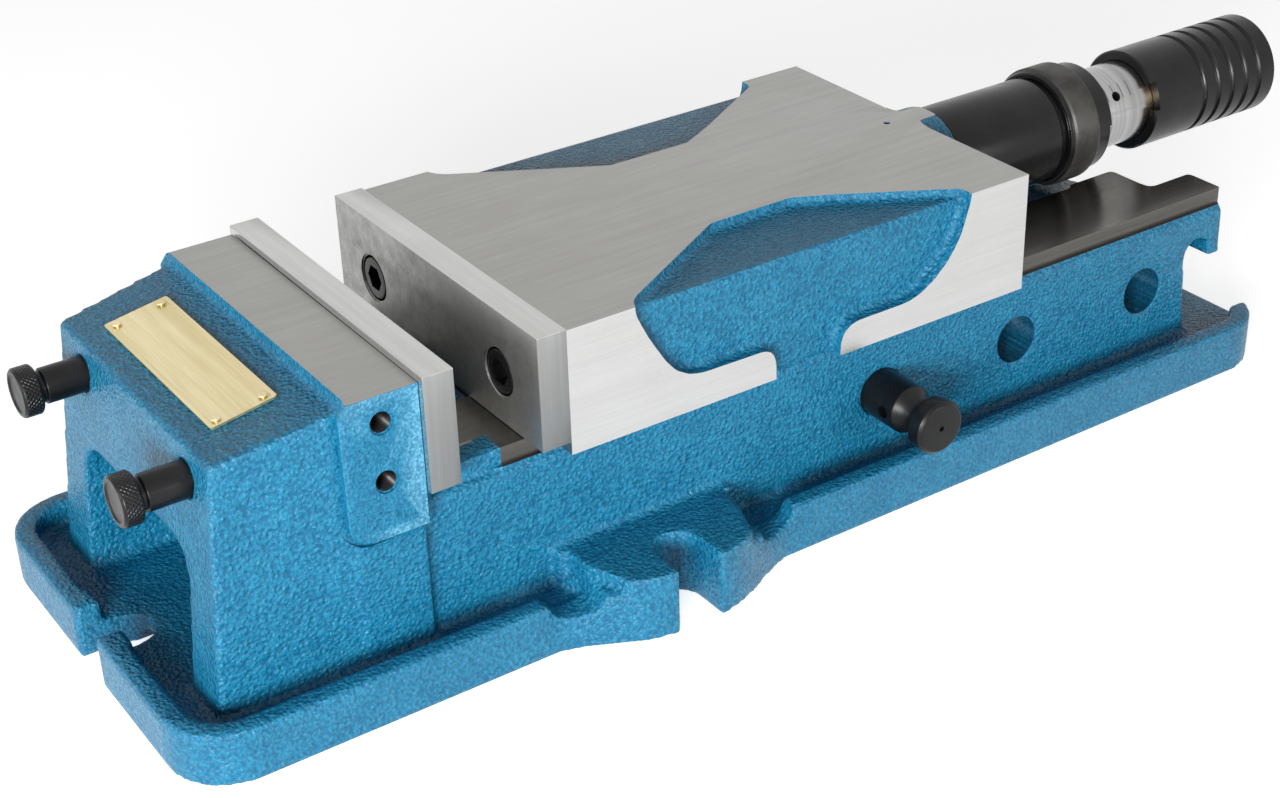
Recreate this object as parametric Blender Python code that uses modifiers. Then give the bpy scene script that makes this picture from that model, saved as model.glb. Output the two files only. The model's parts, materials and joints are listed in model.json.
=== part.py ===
"""Hydraulic machine vise, built as an assembly.

Frame: X along the bed, from the fixed jaw to the spindle; Y across; Z up.
The origin is on the underside of the base, at mid width, straight below the
gripping face of the fixed jaw. All sizes are in metres.
"""

import math

import bmesh
import bpy
from mathutils import Vector

# Clearances
SEAT = 0.0003
RUN = 0.0003
ROUND_STEPS = 28
INNER_STEPS = 20
SMALL_STEPS = 12

# Widths that carry the others
RAIL_HALF = 0.066
SKIRT_WALL = 0.0132
SLIDE_HALF = RAIL_HALF + SKIRT_WALL
PLATE_OVERLAP = 0.0008
JAW_HALF = SLIDE_HALF + PLATE_OVERLAP
JAW_WIDTH = 2 * JAW_HALF

# Jaws and their plates
PLATE_THICK = 0.013
JAW_TOP = 0.1272
PLATE_PROUD = 0.001
PLATE_TOP = JAW_TOP + PLATE_PROUD
PLATE_BOTTOM = 0.0795
JAW_OPENING = 0.035
PLATE_SCREW_INSET = 0.030
PLATE_SCREW_Y = JAW_HALF - PLATE_SCREW_INSET
PLATE_SCREW_DROP = 0.00255
PLATE_SCREW_Z = (PLATE_TOP + PLATE_BOTTOM) / 2 - PLATE_SCREW_DROP
PLATE_SCREW_R = 0.006
PLATE_SCREW_LENGTH = 0.026
SCREW_HEAD_R = 0.009
SCREW_HEAD_HEIGHT = 0.0082
COUNTERBORE_R = 0.010
COUNTERBORE_DEPTH = 0.009

# Base tray
BASE_FRONT = -0.1245
BASE_REAR = 0.426
BASE_HALF = 0.0968
BASE_CORNER_R = 0.026
RIM_TOP = 0.0232
RIM_WIDTH = 0.009
TRAY_FLOOR = 0.0135
END_SLOT_HALF = 0.0105
END_SLOT_DEPTH = 0.0165
END_SLOT_BOSS = 0.010
KEYWAY_WIDTH = 0.018
KEYWAY_DEPTH = 0.006
KEYWAY_LENGTH = 0.045

# Clamping lugs
LUG_X = 0.0834
LUG_TOP = 0.0288
LUG_REACH = 0.1135
LUG_LENGTH = 0.083
LUG_TAPER = 0.010
LUG_SLOT_HALF = 0.0098
LUG_SLOT_CENTRE_Y = 0.098
LUG_BULGE = 0.120
SCOOP_FLOOR = 0.0155
SCOOP_LENGTH = 0.022
SCOOP_SHIFT = 0.0066
SCOOP_CORNER_R = 0.0088

# Bed and slideways
RAIL_TOP = 0.0792
RAIL_SIDE_DEPTH = 0.0078
RAIL_GROOVE = 0.0013
BED_PROUD = 0.0034
BED_HALF = RAIL_HALF + BED_PROUD
BED_DRAFT = 0.0024
BED_REAR = 0.4145
BED_WALL_REAR = 0.398
SLOT_HALF = 0.0248
CHANNEL_HALF = 0.0486
CHANNEL_TOP = 0.0590
CHANNEL_START = 0.020
ENTRY_START = 0.3885
FLOOR_WINDOW_START = 0.032
FLOOR_WINDOW_END = 0.345
SADDLE_START = 0.362
SADDLE_LENGTH = 0.025
SADDLE_R = 0.033
SADDLE_FOOT = 0.0592
SADDLE_DROP = 0.0004
LIFT_NOTCH_R = 0.0105
LIFT_NOTCH_Z = 0.0475
LIFT_NOTCH_SHAPE = 0.8
OVERHANG = 0.0075

# Fixed jaw block
BLOCK_DROP = 0.0029
BLOCK_TOP = PLATE_TOP - BLOCK_DROP
BLOCK_STEP_X = -0.0423
BLOCK_INSET = 0.0034
BLOCK_HALF = JAW_HALF - BLOCK_INSET
PAD_PROUD = 0.0012
BLOCK_LAP = 0.004
SLOPE_TOP = 0.1225
SLOPE_FRONT = 0.1140
FACE_TOP_X = -0.0922
FACE_FOOT_X = -0.1034
FACE_TOP_INSET = 0.0074
FACE_FOOT_INSET = 0.0024
FACE_TOP_HALF = BLOCK_HALF - FACE_TOP_INSET
FACE_FOOT_HALF = BLOCK_HALF - FACE_FOOT_INSET
ARCH_HALF = 0.049
ARCH_TOP = 0.0715
ARCH_R = 0.015
ARCH_DEPTH_X = -0.028
PAD_REAR = -0.0133
PAD_FRONT = -0.0455
PAD_BOTTOM = 0.0655
PAD_CORNER_R = 0.010
STOP_HOLE_X = -0.0288
STOP_HOLE_Z = (0.1140, 0.0895)
STOP_HOLE_R = 0.0043
STOP_HOLE_DEPTH = 0.020

# Name plate, bare
NAME_PLATE_LENGTH = 0.098
NAME_PLATE_WIDTH = 0.027
NAME_PLATE_THICK = 0.001
NAME_PLATE_X = -0.0680
RIVET_INSET = 0.004
RIVET_HEAD_R = 0.0019
RIVET_SHANK_R = 0.0011
RIVET_LENGTH = 0.006

# Pins at the front end
FRONT_PIN_Y = 0.0478
FRONT_PIN_Z = 0.1003
FRONT_PIN_R = 0.0072
FRONT_PIN_HEAD_R = 0.0100
FRONT_PIN_HEAD_X = -0.1199
FRONT_PIN_HEAD_LENGTH = 0.008
FRONT_PIN_NECK = 0.0015
FRONT_PIN_TIP_X = -0.042

# Position pin and its holes
PIN_X = 0.2085
PIN_PITCH = 0.0776
PIN_COUNT = 3
PIN_Z = 0.0425
PIN_R = 0.01075
PIN_CLEARANCE = 0.0003
PIN_TIP_INSET = 0.0034
PIN_TIP_Y = BED_HALF - PIN_TIP_INSET
PIN_SHANK_OUT = 0.021
PIN_NECK_LENGTH = 0.012
PIN_NECK_R = 0.0068
PIN_HEAD_R = 0.012
PIN_HEAD_LENGTH = 0.0072
PIN_CROSS_HOLE_R = 0.0027

# Movable jaw
SLIDE_LENGTH = 0.2305
SLIDE_FRONT = JAW_OPENING + PLATE_THICK + SEAT
SLIDE_REAR = SLIDE_FRONT + SLIDE_LENGTH
SKIRT_BOTTOM = 0.0737
TUNNEL_HALF = 0.026
TUNNEL_ROOF = 0.0048
TUNNEL_TOP = JAW_TOP - TUNNEL_ROOF
TUNNEL_START = 0.126
REAR_WALL = 0.018
TONGUE_START = 0.058
TONGUE_LENGTH = 0.070
BOSS_R = 0.0266
BOSS_LENGTH = 0.013
OIL_HOLE_R = 0.0015
OIL_HOLE_INSET = 0.0112

# Pockets of the movable jaw, measured from its front, its rear or its top
POCKET_DEPTH = 0.0036
POCKET_END = 0.0305
POCKET_FLARE = 0.0055
POCKET_EDGE = 0.0070
WAIST_HALF = 0.0369
WAIST_FRONT = 0.0969
WAIST_LENGTH = 0.0397
WAIST_FLARE_LENGTH = 0.0167
WAIST_FLARE = 0.0085
RECESS_DEPTH = 0.0056
RECESS_END = 0.0292
RECESS_LIP = 0.0020
RECESS_KNEE = (0.0420, 0.0297)
RECESS_SILL = 0.0388
RECESS_SILL_FRONT = 0.0530
RECESS_GAP_FRONT = 0.0971
RECESS_GAP_LENGTH = 0.0331
RECESS_REAR_SILL = 0.56
RECESS_REAR_KNEE = (0.84, 0.0242)

# Hold-down plate under the slideways
HOLD_DOWN_HALF = 0.048
HOLD_DOWN_THICK = 0.0085
HOLD_SCREW_SPREAD_X = 0.020
HOLD_SCREW_SPREAD_Y = 0.013
HOLD_SCREW_R = 0.005
HOLD_SCREW_HEAD_R = 0.008
HOLD_SCREW_HEAD = 0.005
HOLD_SCREW_LENGTH = 0.030

# Spindle, its axis and its nut
AXIS_Z = 0.1015
THREAD_R = 0.017
JOURNAL_R = 0.018
PUSH_ROD_R = 0.008
NUT_FRONT = 0.180
NUT_LENGTH = 0.040
NUT_HALF = 0.0245
NUT_FOOT_FRONT = 0.184
NUT_FOOT_LENGTH = 0.048
NUT_FOOT_BOTTOM = 0.026
NUT_ROOF_GAP = 0.0006
SCREW_FRONT = 0.1133
BEARING_R = 0.020
BEARING_SEAT = 0.103
BEARING_BORE = 0.0098
BALL_R = 0.0024
BALL_COUNT = 6
CAGE_HALF = 0.0012
CAGE_BORE = 0.0112
CAGE_R = 0.0188
THRUST_PAD_R = 0.012
THRUST_PAD_THICK = 0.0045
RETAINER_R = 0.0205
RETAINER_THICK = 0.0055

# Hydraulic cylinder, set out from the front of its tube
TUBE_FRONT = SLIDE_REAR + BOSS_LENGTH + SEAT
TUBE_R = 0.0247
TUBE_BORE_R = 0.019
TUBE_LENGTH = 0.0794
TUBE_NECK = 0.0040
TUBE_NECK_DEPTH = 0.0009
SPIGOT_LENGTH = 0.010
MAIN_PISTON_FRONT = TUBE_FRONT + 0.0219
MAIN_PISTON_LENGTH = 0.014
SEAL_WIDTH = 0.003
SEAL_DEPTH = 0.0025
SPRING_R = 0.0135
SPRING_WIRE_R = 0.0012
SPRING_TURNS = 3
COLLAR_FRONT = TUBE_FRONT + 0.0644
COLLAR_CHAMFER = 0.003
COLLAR_LENGTH = 0.018
COLLAR_REAR = COLLAR_FRONT + COLLAR_LENGTH
COLLAR_REAR_CHAMFER = 0.002
COLLAR_R = 0.028
CLAW_LENGTH = 0.0093
CLAW_REAR = COLLAR_REAR + CLAW_LENGTH
CLAW_R = 0.0255
CLAW_NOTCH_DEPTH = 0.0018
CLAW_NOTCH_FROM = -62.0
CLAW_NOTCH_TO = 7.5
SLEEVE_R = 0.0195
SLEEVE_BORE_R = 0.0143
SLEEVE_REAR = TUBE_FRONT + 0.1319
SLEEVE_HOLE_X = TUBE_FRONT + 0.1023
SLEEVE_HOLE_ANGLE = 36.6
SLEEVE_HOLE_R = 0.0024
HEAD_FRONT = TUBE_FRONT + 0.0599
HEAD_NOSE_LENGTH = 0.014
HEAD_REAR = TUBE_FRONT + 0.1199
HEAD_TAIL_R = 0.014
PRIMARY_R = 0.006
PRIMARY_FRONT = TUBE_FRONT + 0.0529
PRESSURE_SCREW_FRONT = TUBE_FRONT + 0.0929
PRESSURE_SCREW_R = 0.009
PRESSURE_STROKE = 0.014

# Grip and clutch
GRIP_FRONT = TUBE_FRONT + 0.1214
GRIP_LENGTH = 0.0825
GRIP_REAR = GRIP_FRONT + GRIP_LENGTH
GRIP_R = 0.0241
GRIP_WINDOW_DEPTH = 0.0027
GRIP_WINDOW_FROM = 5.0
GRIP_WINDOW_TO = 38.0
GRIP_GROOVE_FIRST = GRIP_FRONT + 0.033
GRIP_GROOVE_PITCH = 0.0094
GRIP_GROOVE_COUNT = 5
GRIP_GROOVE_DEPTH = 0.0014
GRIP_GROOVE_HALF = 0.0015
FLANGE_THICK = 0.006
CLUTCH_DISC_THICK = 0.0055
CLUTCH_SPRING_R = 0.0145
CLUTCH_WIRE_R = 0.0015
CLUTCH_SPRING_TURNS = 4
PLUG_LENGTH = 0.022
HEX_ACROSS_FLATS = 0.014
HEX_DEPTH = 0.014

BLUE = (0.012, 0.195, 0.375)
STEEL = (0.55, 0.54, 0.52)
BLACK = (0.02, 0.02, 0.022)


# Scene helpers

def clear_scene():
    for obj in list(bpy.data.objects):
        bpy.data.objects.remove(obj, do_unlink=True)


def new_collection(name):
    collection = bpy.data.collections.new(name)
    bpy.context.scene.collection.children.link(collection)
    return collection


def move_to(obj, collection):
    for old in list(obj.users_collection):
        old.objects.unlink(obj)
    collection.objects.link(obj)


def material(name, colour, roughness, metallic):
    made = bpy.data.materials.new(name)
    made.use_nodes = True
    shader = made.node_tree.nodes["Principled BSDF"]
    shader.inputs["Base Color"].default_value = (*colour, 1.0)
    shader.inputs["Roughness"].default_value = roughness
    shader.inputs["Metallic"].default_value = metallic
    return made


def snap(mesh):
    """Rounds each point to a tenth of a micrometre, so that faces meant to be flush are flush."""
    for vertex in mesh.vertices:
        vertex.co = [round(value, 7) for value in vertex.co]


def finish(obj, name, finish_material, pivot=None):
    """Names a piece, gives it its finish and puts its origin on its pivot."""
    obj.name = name
    obj.data.name = name
    obj.data.materials.clear()
    obj.data.materials.append(finish_material)
    move_to(obj, PARTS)
    if pivot is not None:
        place = Vector(pivot)
        for vertex in obj.data.vertices:
            vertex.co -= place
        obj.location = place
    obj.data.shade_smooth()
    obj.data.set_sharp_from_angle(angle=math.radians(35))
    return obj


def as_tool(obj):
    """A cutter or an added form: drawn as wire and left out of the render."""
    obj.hide_render = True
    obj.display_type = "WIRE"
    move_to(obj, TOOLS)
    return obj


def boolean(target, tool, operation):
    as_tool(tool)
    step = target.modifiers.new(operation.title(), "BOOLEAN")
    step.operation = operation
    step.object = tool
    step.solver = "EXACT"
    return target


def cut(target, *tools):
    for tool in tools:
        boolean(target, tool, "DIFFERENCE")
    return target


def join(target, *tools):
    for tool in tools:
        boolean(target, tool, "UNION")
    return target


# Solids

def box(x, y, z):
    """A box from its (low, high) ranges along X, Y and Z."""
    bpy.ops.mesh.primitive_cube_add(size=1)
    obj = bpy.context.object
    obj.location = [(low + high) / 2 for low, high in (x, y, z)]
    obj.scale = [high - low for low, high in (x, y, z)]
    lay(obj)
    return obj


def cylinder(centre, radius, length, axis, steps=ROUND_STEPS):
    """A cylinder of the given length about its centre, along X, Y or Z."""
    bpy.ops.mesh.primitive_cylinder_add(vertices=steps, radius=radius, depth=length)
    obj = bpy.context.object
    obj.location = centre
    if axis == "X":
        obj.rotation_euler = (0, math.pi / 2, 0)
    if axis == "Y":
        obj.rotation_euler = (math.pi / 2, 0, 0)
    lay(obj)
    return obj


def lay(obj):
    """Moves a mesh's points to where its object puts them, and the object to the origin."""
    bpy.context.view_layer.update()
    obj.data.transform(obj.matrix_world)
    snap(obj.data)
    obj.location = (0, 0, 0)
    obj.rotation_euler = (0, 0, 0)
    obj.scale = (1, 1, 1)


def bore(x_low, x_high, radius, steps=ROUND_STEPS):
    """A cutter along the spindle's axis."""
    return cylinder(((x_low + x_high) / 2, 0, AXIS_Z), radius, x_high - x_low, "X", steps)


def turned(profile, steps=ROUND_STEPS, centre=(0.0, 0.0, AXIS_Z), axis="X"):
    """A turned piece from (place along the axis, radius) points, outer side in order.

    The profile runs down the outer side in its own frame, whose Z is the
    turning axis, and is then laid along X or Y.
    """
    points = [(radius, 0.0, -along) for along, radius in profile]
    mesh = bpy.data.meshes.new("turned")
    edges = [(i, i + 1) for i in range(len(points) - 1)]
    if profile[0][1] > 0 and profile[-1][1] > 0:
        edges.append((len(points) - 1, 0))
    mesh.from_pydata(points, edges, [])
    obj = bpy.data.objects.new("turned", mesh)
    bpy.context.scene.collection.objects.link(obj)
    screw = obj.modifiers.new("Turn", "SCREW")
    screw.steps = steps
    screw.render_steps = steps
    screw.use_merge_vertices = True
    screw.merge_threshold = 0.00001
    return baked(obj, centre, axis)


def baked(obj, centre, axis):
    """Replaces an object by its evaluated mesh, laid along an axis at its centre."""
    bpy.context.view_layer.update()
    graph = bpy.context.evaluated_depsgraph_get()
    mesh = bpy.data.meshes.new_from_object(obj.evaluated_get(graph))
    made = bpy.data.objects.new("baked", mesh)
    bpy.context.scene.collection.objects.link(made)
    bpy.data.objects.remove(obj, do_unlink=True)
    if axis == "X":
        made.rotation_euler = (0, -math.pi / 2, 0)
    if axis == "Y":
        made.rotation_euler = (math.pi / 2, 0, 0)
    made.location = centre
    lay(made)
    weld(made)
    return made


def weld(obj):
    """Joins the caps to the sides, and makes each flat cap one face."""
    work = bmesh.new()
    work.from_mesh(obj.data)
    bmesh.ops.remove_doubles(work, verts=work.verts, dist=0.000005)
    bmesh.ops.dissolve_limit(
        work, angle_limit=math.radians(0.2), verts=work.verts, edges=work.edges,
    )
    work.to_mesh(obj.data)
    work.free()


def rounded(corners, steps=6):
    """An outline from (u, v, corner radius) points; a corner's arc is kept within its sides."""
    outline = []
    count = len(corners)
    for i, (u, v, radius) in enumerate(corners):
        here = Vector((u, v))
        if radius <= 0:
            outline.append((u, v))
            continue
        back = Vector(corners[i - 1][:2]) - here
        ahead = Vector(corners[(i + 1) % count][:2]) - here
        half = back.angle(ahead) / 2
        radius = min(radius, math.tan(half) * min(back.length, ahead.length) / 2)
        back.normalize()
        ahead.normalize()
        centre = here + (back + ahead).normalized() * radius / math.sin(half)
        start = here + back * radius / math.tan(half) - centre
        sweep = math.pi - 2 * half
        turn = 1 if back.cross(ahead) < 0 else -1
        for k in range(steps + 1):
            angle = turn * sweep * k / steps
            cos, sin = math.cos(angle), math.sin(angle)
            outline.append((
                centre.x + start.x * cos - start.y * sin,
                centre.y + start.x * sin + start.y * cos,
            ))
    return outline


def plate(outline, low, high, across):
    """A flat outline given thickness along the axis `across`, from low to high.

    The outline is in (x, y) for Z, (x, z) for Y and (y, z) for X.
    """
    curve = bpy.data.curves.new("outline", "CURVE")
    curve.dimensions = "2D"
    curve.fill_mode = "BOTH"
    curve.extrude = (high - low) / 2
    spline = curve.splines.new("POLY")
    spline.points.add(len(outline) - 1)
    for point, (u, v) in zip(spline.points, outline):
        point.co = (u, v, 0, 1)
    spline.use_cyclic_u = True
    obj = bpy.data.objects.new("outline", curve)
    bpy.context.scene.collection.objects.link(obj)
    middle = (low + high) / 2
    if across == "Z":
        obj.location = (0, 0, middle)
    if across == "Y":
        obj.rotation_euler = (math.pi / 2, 0, 0)
        obj.location = (0, middle, 0)
    if across == "X":
        obj.rotation_euler = (math.pi / 2, 0, math.pi / 2)
        obj.location = (middle, 0, 0)
    bpy.context.view_layer.update()
    graph = bpy.context.evaluated_depsgraph_get()
    mesh = bpy.data.meshes.new_from_object(obj.evaluated_get(graph))
    mesh.transform(obj.matrix_world)
    snap(mesh)
    made = bpy.data.objects.new("plate", mesh)
    bpy.context.scene.collection.objects.link(made)
    bpy.data.objects.remove(obj, do_unlink=True)
    weld(made)
    return made


def hexahedron(corners):
    """A tapered block: a cube whose eight corners are moved to their places.

    `corners` maps (end, side, level), each -1 or 1, to a point.
    """
    bpy.ops.mesh.primitive_cube_add(size=2)
    obj = bpy.context.object
    for vertex in obj.data.vertices:
        key = tuple(1 if value > 0 else -1 for value in vertex.co)
        vertex.co = corners[key]
    work = bmesh.new()
    work.from_mesh(obj.data)
    bmesh.ops.triangulate(work, faces=work.faces)
    work.to_mesh(obj.data)
    work.free()
    return obj


def mirrored_y(maker):
    """Makes a form on both sides of the mid plane; the maker takes a sign."""
    return [maker(sign) for sign in (-1, 1)]


def coil(radius, wire_r, length, turns, x_low):
    """A compression spring along the spindle's axis."""
    per_turn = 12
    curve = bpy.data.curves.new("coil", "CURVE")
    curve.dimensions = "3D"
    curve.bevel_depth = wire_r
    curve.bevel_resolution = 0
    curve.use_fill_caps = True
    spline = curve.splines.new("POLY")
    count = turns * per_turn + 1
    spline.points.add(count - 1)
    run = length - 2 * wire_r
    for i, point in enumerate(spline.points):
        angle = 2 * math.pi * i / per_turn
        along = x_low + wire_r + run * i / (count - 1)
        point.co = (along, radius * math.cos(angle), AXIS_Z + radius * math.sin(angle), 1)
    obj = bpy.data.objects.new("coil", curve)
    bpy.context.scene.collection.objects.link(obj)
    bpy.context.view_layer.update()
    graph = bpy.context.evaluated_depsgraph_get()
    mesh = bpy.data.meshes.new_from_object(obj.evaluated_get(graph))
    made = bpy.data.objects.new("coil", mesh)
    bpy.context.scene.collection.objects.link(made)
    bpy.data.objects.remove(obj, do_unlink=True)
    weld(made)
    return made


def merge(objects):
    """Several separate solids as one object, such as a set of like screws."""
    bpy.ops.object.select_all(action="DESELECT")
    for obj in objects:
        obj.select_set(True)
    bpy.context.view_layer.objects.active = objects[0]
    bpy.ops.object.join()
    return bpy.context.object


# Base and bed

def ground_plan(inset, corner_r):
    """The base's rounded rectangle, set in by a distance."""
    half = BASE_HALF - inset
    front, rear = BASE_FRONT + inset, BASE_REAR - inset
    return rounded([
        (front, -half, corner_r), (rear, -half, corner_r), (rear, half, corner_r), (front, half, corner_r),
    ])


def swell_side(sign):
    """The S-curved edge of the base round a clamping lug, from front to rear."""
    start = LUG_X - LUG_BULGE / 2
    flat = 0.011
    steps = 8
    side = []
    for k in range(steps + 1):
        share = k / steps
        eased = share * share * (3 - 2 * share)
        out = BASE_HALF - 0.0003 + (LUG_REACH - BASE_HALF + 0.0003) * eased
        side.append((start + (LUG_X - flat - start) * share, sign * out))
    return side + [(2 * LUG_X - along, out) for along, out in reversed(side)]


def swell(sign):
    """The base's outward swell round a clamping lug."""
    inner = sign * (BASE_HALF - 0.006)
    reach = LUG_BULGE / 2 + 0.002
    outline = [(LUG_X - reach, inner), *swell_side(sign), (LUG_X + reach, inner)]
    return plate(outline, 0.0, RIM_TOP, "Z")


def base_tray():
    tray = plate(ground_plan(0.0, BASE_CORNER_R), 0.0, RIM_TOP, "Z")
    join(tray, *mirrored_y(swell))
    inside = ground_plan(RIM_WIDTH, BASE_CORNER_R - RIM_WIDTH)
    cut(tray, plate(inside, TRAY_FLOOR, RIM_TOP + 0.01, "Z"))
    for sign in (-1, 1):
        join(tray, lug(sign))
        for side in (-1, 1):
            cut(tray, scoop(sign, side))
    for end in (-1, 1):
        join(tray, end_slot_boss(end))
    return tray


def lug(sign):
    """A raised clamping lug, whose outer edge follows the base's swell."""
    inner = LUG_LENGTH / 2
    outer = inner - LUG_TAPER + 0.002
    start = sign * (BED_HALF - 0.004)
    knee = sign * (BED_HALF + 0.006)
    edge = [point for point in swell_side(sign) if abs(point[0] - LUG_X) < outer]
    outline = [
        (LUG_X - inner, start), (LUG_X - inner, knee), *edge,
        (LUG_X + inner, knee), (LUG_X + inner, start),
    ]
    return plate(outline, 0.0, LUG_TOP, "Z")


def lug_slot(sign):
    """An open-ended slot for a clamping bolt."""
    steps = 12
    end_y = LUG_SLOT_CENTRE_Y
    outline = [(LUG_X - LUG_SLOT_HALF, sign * (LUG_REACH + 0.02))]
    for k in range(steps + 1):
        angle = math.pi * k / steps
        outline.append((
            LUG_X - LUG_SLOT_HALF * math.cos(angle),
            sign * (end_y - LUG_SLOT_HALF * math.sin(angle)),
        ))
    outline.append((LUG_X + LUG_SLOT_HALF, sign * (LUG_REACH + 0.02)))
    return plate(outline, -0.01, LUG_TOP + 0.02, "Z")


def scoop(sign, side):
    """The hollow that lets the rim dip beside a lug."""
    centre_x = LUG_X + side * (LUG_LENGTH / 2 + SCOOP_SHIFT)
    front, rear = centre_x - SCOOP_LENGTH / 2, centre_x + SCOOP_LENGTH / 2
    outline = rounded([
        (front, LUG_TOP + 0.01, 0), (front, SCOOP_FLOOR, SCOOP_CORNER_R),
        (rear, SCOOP_FLOOR, SCOOP_CORNER_R), (rear, LUG_TOP + 0.01, 0),
    ])
    ends = sorted((sign * (BED_HALF + BED_DRAFT + 0.004), sign * (LUG_REACH + 0.02)))
    return plate(outline, ends[0], ends[1], "Y")


def end_place(end):
    """The end of the base at the front (-1) or rear (1)."""
    return BASE_FRONT if end < 0 else BASE_REAR


def end_slot_boss(end):
    """The raised U-shaped seat round an end slot."""
    edge = end_place(end)
    radius = END_SLOT_HALF + END_SLOT_BOSS
    centre = edge - end * END_SLOT_DEPTH
    steps = 16
    outline = [(edge - end * 0.004, -radius * 1.15)]
    for k in range(steps + 1):
        angle = -math.pi / 2 + math.pi * k / steps
        outline.append((centre - end * radius * math.cos(angle), radius * math.sin(angle)))
    outline.append((edge - end * 0.004, radius * 1.15))
    return plate(outline, TRAY_FLOOR - 0.005, RIM_TOP, "Z")


def end_slot(end):
    edge = end_place(end)
    centre = edge - end * END_SLOT_DEPTH
    steps = 12
    outline = [(edge + end * 0.02, -END_SLOT_HALF)]
    for k in range(steps + 1):
        angle = -math.pi / 2 + math.pi * k / steps
        outline.append((
            centre - end * END_SLOT_HALF * math.cos(angle), END_SLOT_HALF * math.sin(angle),
        ))
    outline.append((edge + end * 0.02, END_SLOT_HALF))
    return plate(outline, -0.01, RIM_TOP + 0.02, "Z")


def bed_section():
    """Half of the bed's outer section, from the slideway's edge down to the foot."""
    side_top = RAIL_TOP - RAIL_SIDE_DEPTH
    return [
        (RAIL_HALF, RAIL_TOP), (RAIL_HALF, side_top),
        (RAIL_HALF - RAIL_GROOVE, side_top - RAIL_GROOVE), (BED_HALF, side_top - RAIL_GROOVE),
        (BED_HALF + BED_DRAFT, TRAY_FLOOR - 0.003),
    ]


def bed_block():
    """The bed between the fixed jaw and the rear, as one solid bar."""
    half = bed_section()
    return plate(half + [(-u, v) for u, v in reversed(half)], PAD_FRONT, BED_REAR, "X")


def channel():
    """The T-shaped hollow under the slideways, open at the rear."""
    return box((CHANNEL_START, BED_REAR + 0.02), (-CHANNEL_HALF, CHANNEL_HALF), (TRAY_FLOOR, CHANNEL_TOP))


def slot_between_slideways():
    return box(
        (CHANNEL_START, BED_REAR + 0.02), (-SLOT_HALF, SLOT_HALF), (CHANNEL_TOP - 0.005, RAIL_TOP + 0.01),
    )


def entry_notch():
    """The wide mouth at the rear, through which the hold-down plate goes in."""
    outline = rounded([
        (ENTRY_START - 0.004, -SLOT_HALF + 0.004, 0),
        (ENTRY_START - 0.004, -SLOT_HALF, 0.004),
        (ENTRY_START + 0.002, -CHANNEL_HALF, 0.006),
        (BED_REAR + 0.02, -CHANNEL_HALF, 0),
        (BED_REAR + 0.02, CHANNEL_HALF, 0),
        (ENTRY_START + 0.002, CHANNEL_HALF, 0.006),
        (ENTRY_START - 0.004, SLOT_HALF, 0.004),
        (ENTRY_START - 0.004, SLOT_HALF - 0.004, 0),
    ])
    return plate(outline, CHANNEL_TOP - 0.005, RAIL_TOP + 0.01, "Z")


def lift_notch():
    """The hooked cut-out under the rear overhang of both side walls."""
    centre_x = BED_WALL_REAR + 0.0015
    past = BED_REAR + 0.02
    outline = [(centre_x - LIFT_NOTCH_R * 0.55, 0.0), (past, 0.0), (past, LIFT_NOTCH_Z)]
    outline += [(BED_REAR - OVERHANG, LIFT_NOTCH_Z), (BED_REAR - OVERHANG - 0.001, LIFT_NOTCH_Z + 0.0035)]
    steps = 10
    for k in range(steps + 1):
        angle = math.radians(40 + 150 * k / steps)
        outline.append((
            centre_x + LIFT_NOTCH_R * LIFT_NOTCH_SHAPE * math.cos(angle),
            LIFT_NOTCH_Z + LIFT_NOTCH_R * math.sin(angle),
        ))
    outline = [(x, max(z, TRAY_FLOOR)) for x, z in outline]
    return plate(outline, -BED_HALF - 0.01, BED_HALF + 0.01, "Y")


def saddle():
    """The cross-member that ties the slideways, hollowed to clear the spindle."""
    bridge = box(
        (SADDLE_START, SADDLE_START + SADDLE_LENGTH),
        (-SLOT_HALF - 0.004, SLOT_HALF + 0.004),
        (SADDLE_FOOT, RAIL_TOP - SADDLE_DROP),
    )
    hollow = bore(SADDLE_START - 0.01, SADDLE_START + SADDLE_LENGTH + 0.01, SADDLE_R)
    return cut(bridge, hollow)


def jaw_block():
    """The fixed jaw: a block whose front end narrows and slopes."""
    half = BLOCK_HALF - PAD_PROUD
    foot = TRAY_FLOOR - 0.003
    lap = BLOCK_STEP_X + BLOCK_LAP
    corners = {}
    for side in (-1, 1):
        corners[(1, side, 1)] = (lap, side * (half - SEAT), slope_at(lap))
        corners[(1, side, -1)] = (lap, side * (half - SEAT), foot)
        corners[(-1, side, 1)] = (FACE_TOP_X, side * FACE_TOP_HALF, SLOPE_FRONT)
        corners[(-1, side, -1)] = (FACE_FOOT_X, side * FACE_FOOT_HALF, foot)
    block = hexahedron(corners)
    join(block, box((BLOCK_STEP_X, PAD_REAR), (-half, half), (foot, BLOCK_TOP)))
    for sign in (-1, 1):
        join(block, stop_pad(sign))
    return block


def stop_pad(sign):
    """The machined pad for a work stop, on each side of the fixed jaw."""
    outline = rounded([
        (PAD_REAR, BLOCK_TOP, 0),
        (PAD_REAR, PAD_BOTTOM, 0),
        (PAD_FRONT, PAD_BOTTOM, PAD_CORNER_R),
        (PAD_FRONT, SLOPE_TOP - 0.004, 0),
        (BLOCK_STEP_X, BLOCK_TOP, 0),
    ])
    ends = sorted((sign * (BLOCK_HALF - 0.010), sign * (BLOCK_HALF + 0.0004)))
    return plate(outline, ends[0], ends[1], "Y")


def arch_hollow():
    """The cored opening in the front end."""
    outline = rounded([
        (-ARCH_HALF, TRAY_FLOOR, 0), (ARCH_HALF, TRAY_FLOOR, 0),
        (ARCH_HALF, ARCH_TOP, ARCH_R), (-ARCH_HALF, ARCH_TOP, ARCH_R),
    ])
    return plate(outline, FACE_FOOT_X - 0.01, ARCH_DEPTH_X, "X")


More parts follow.
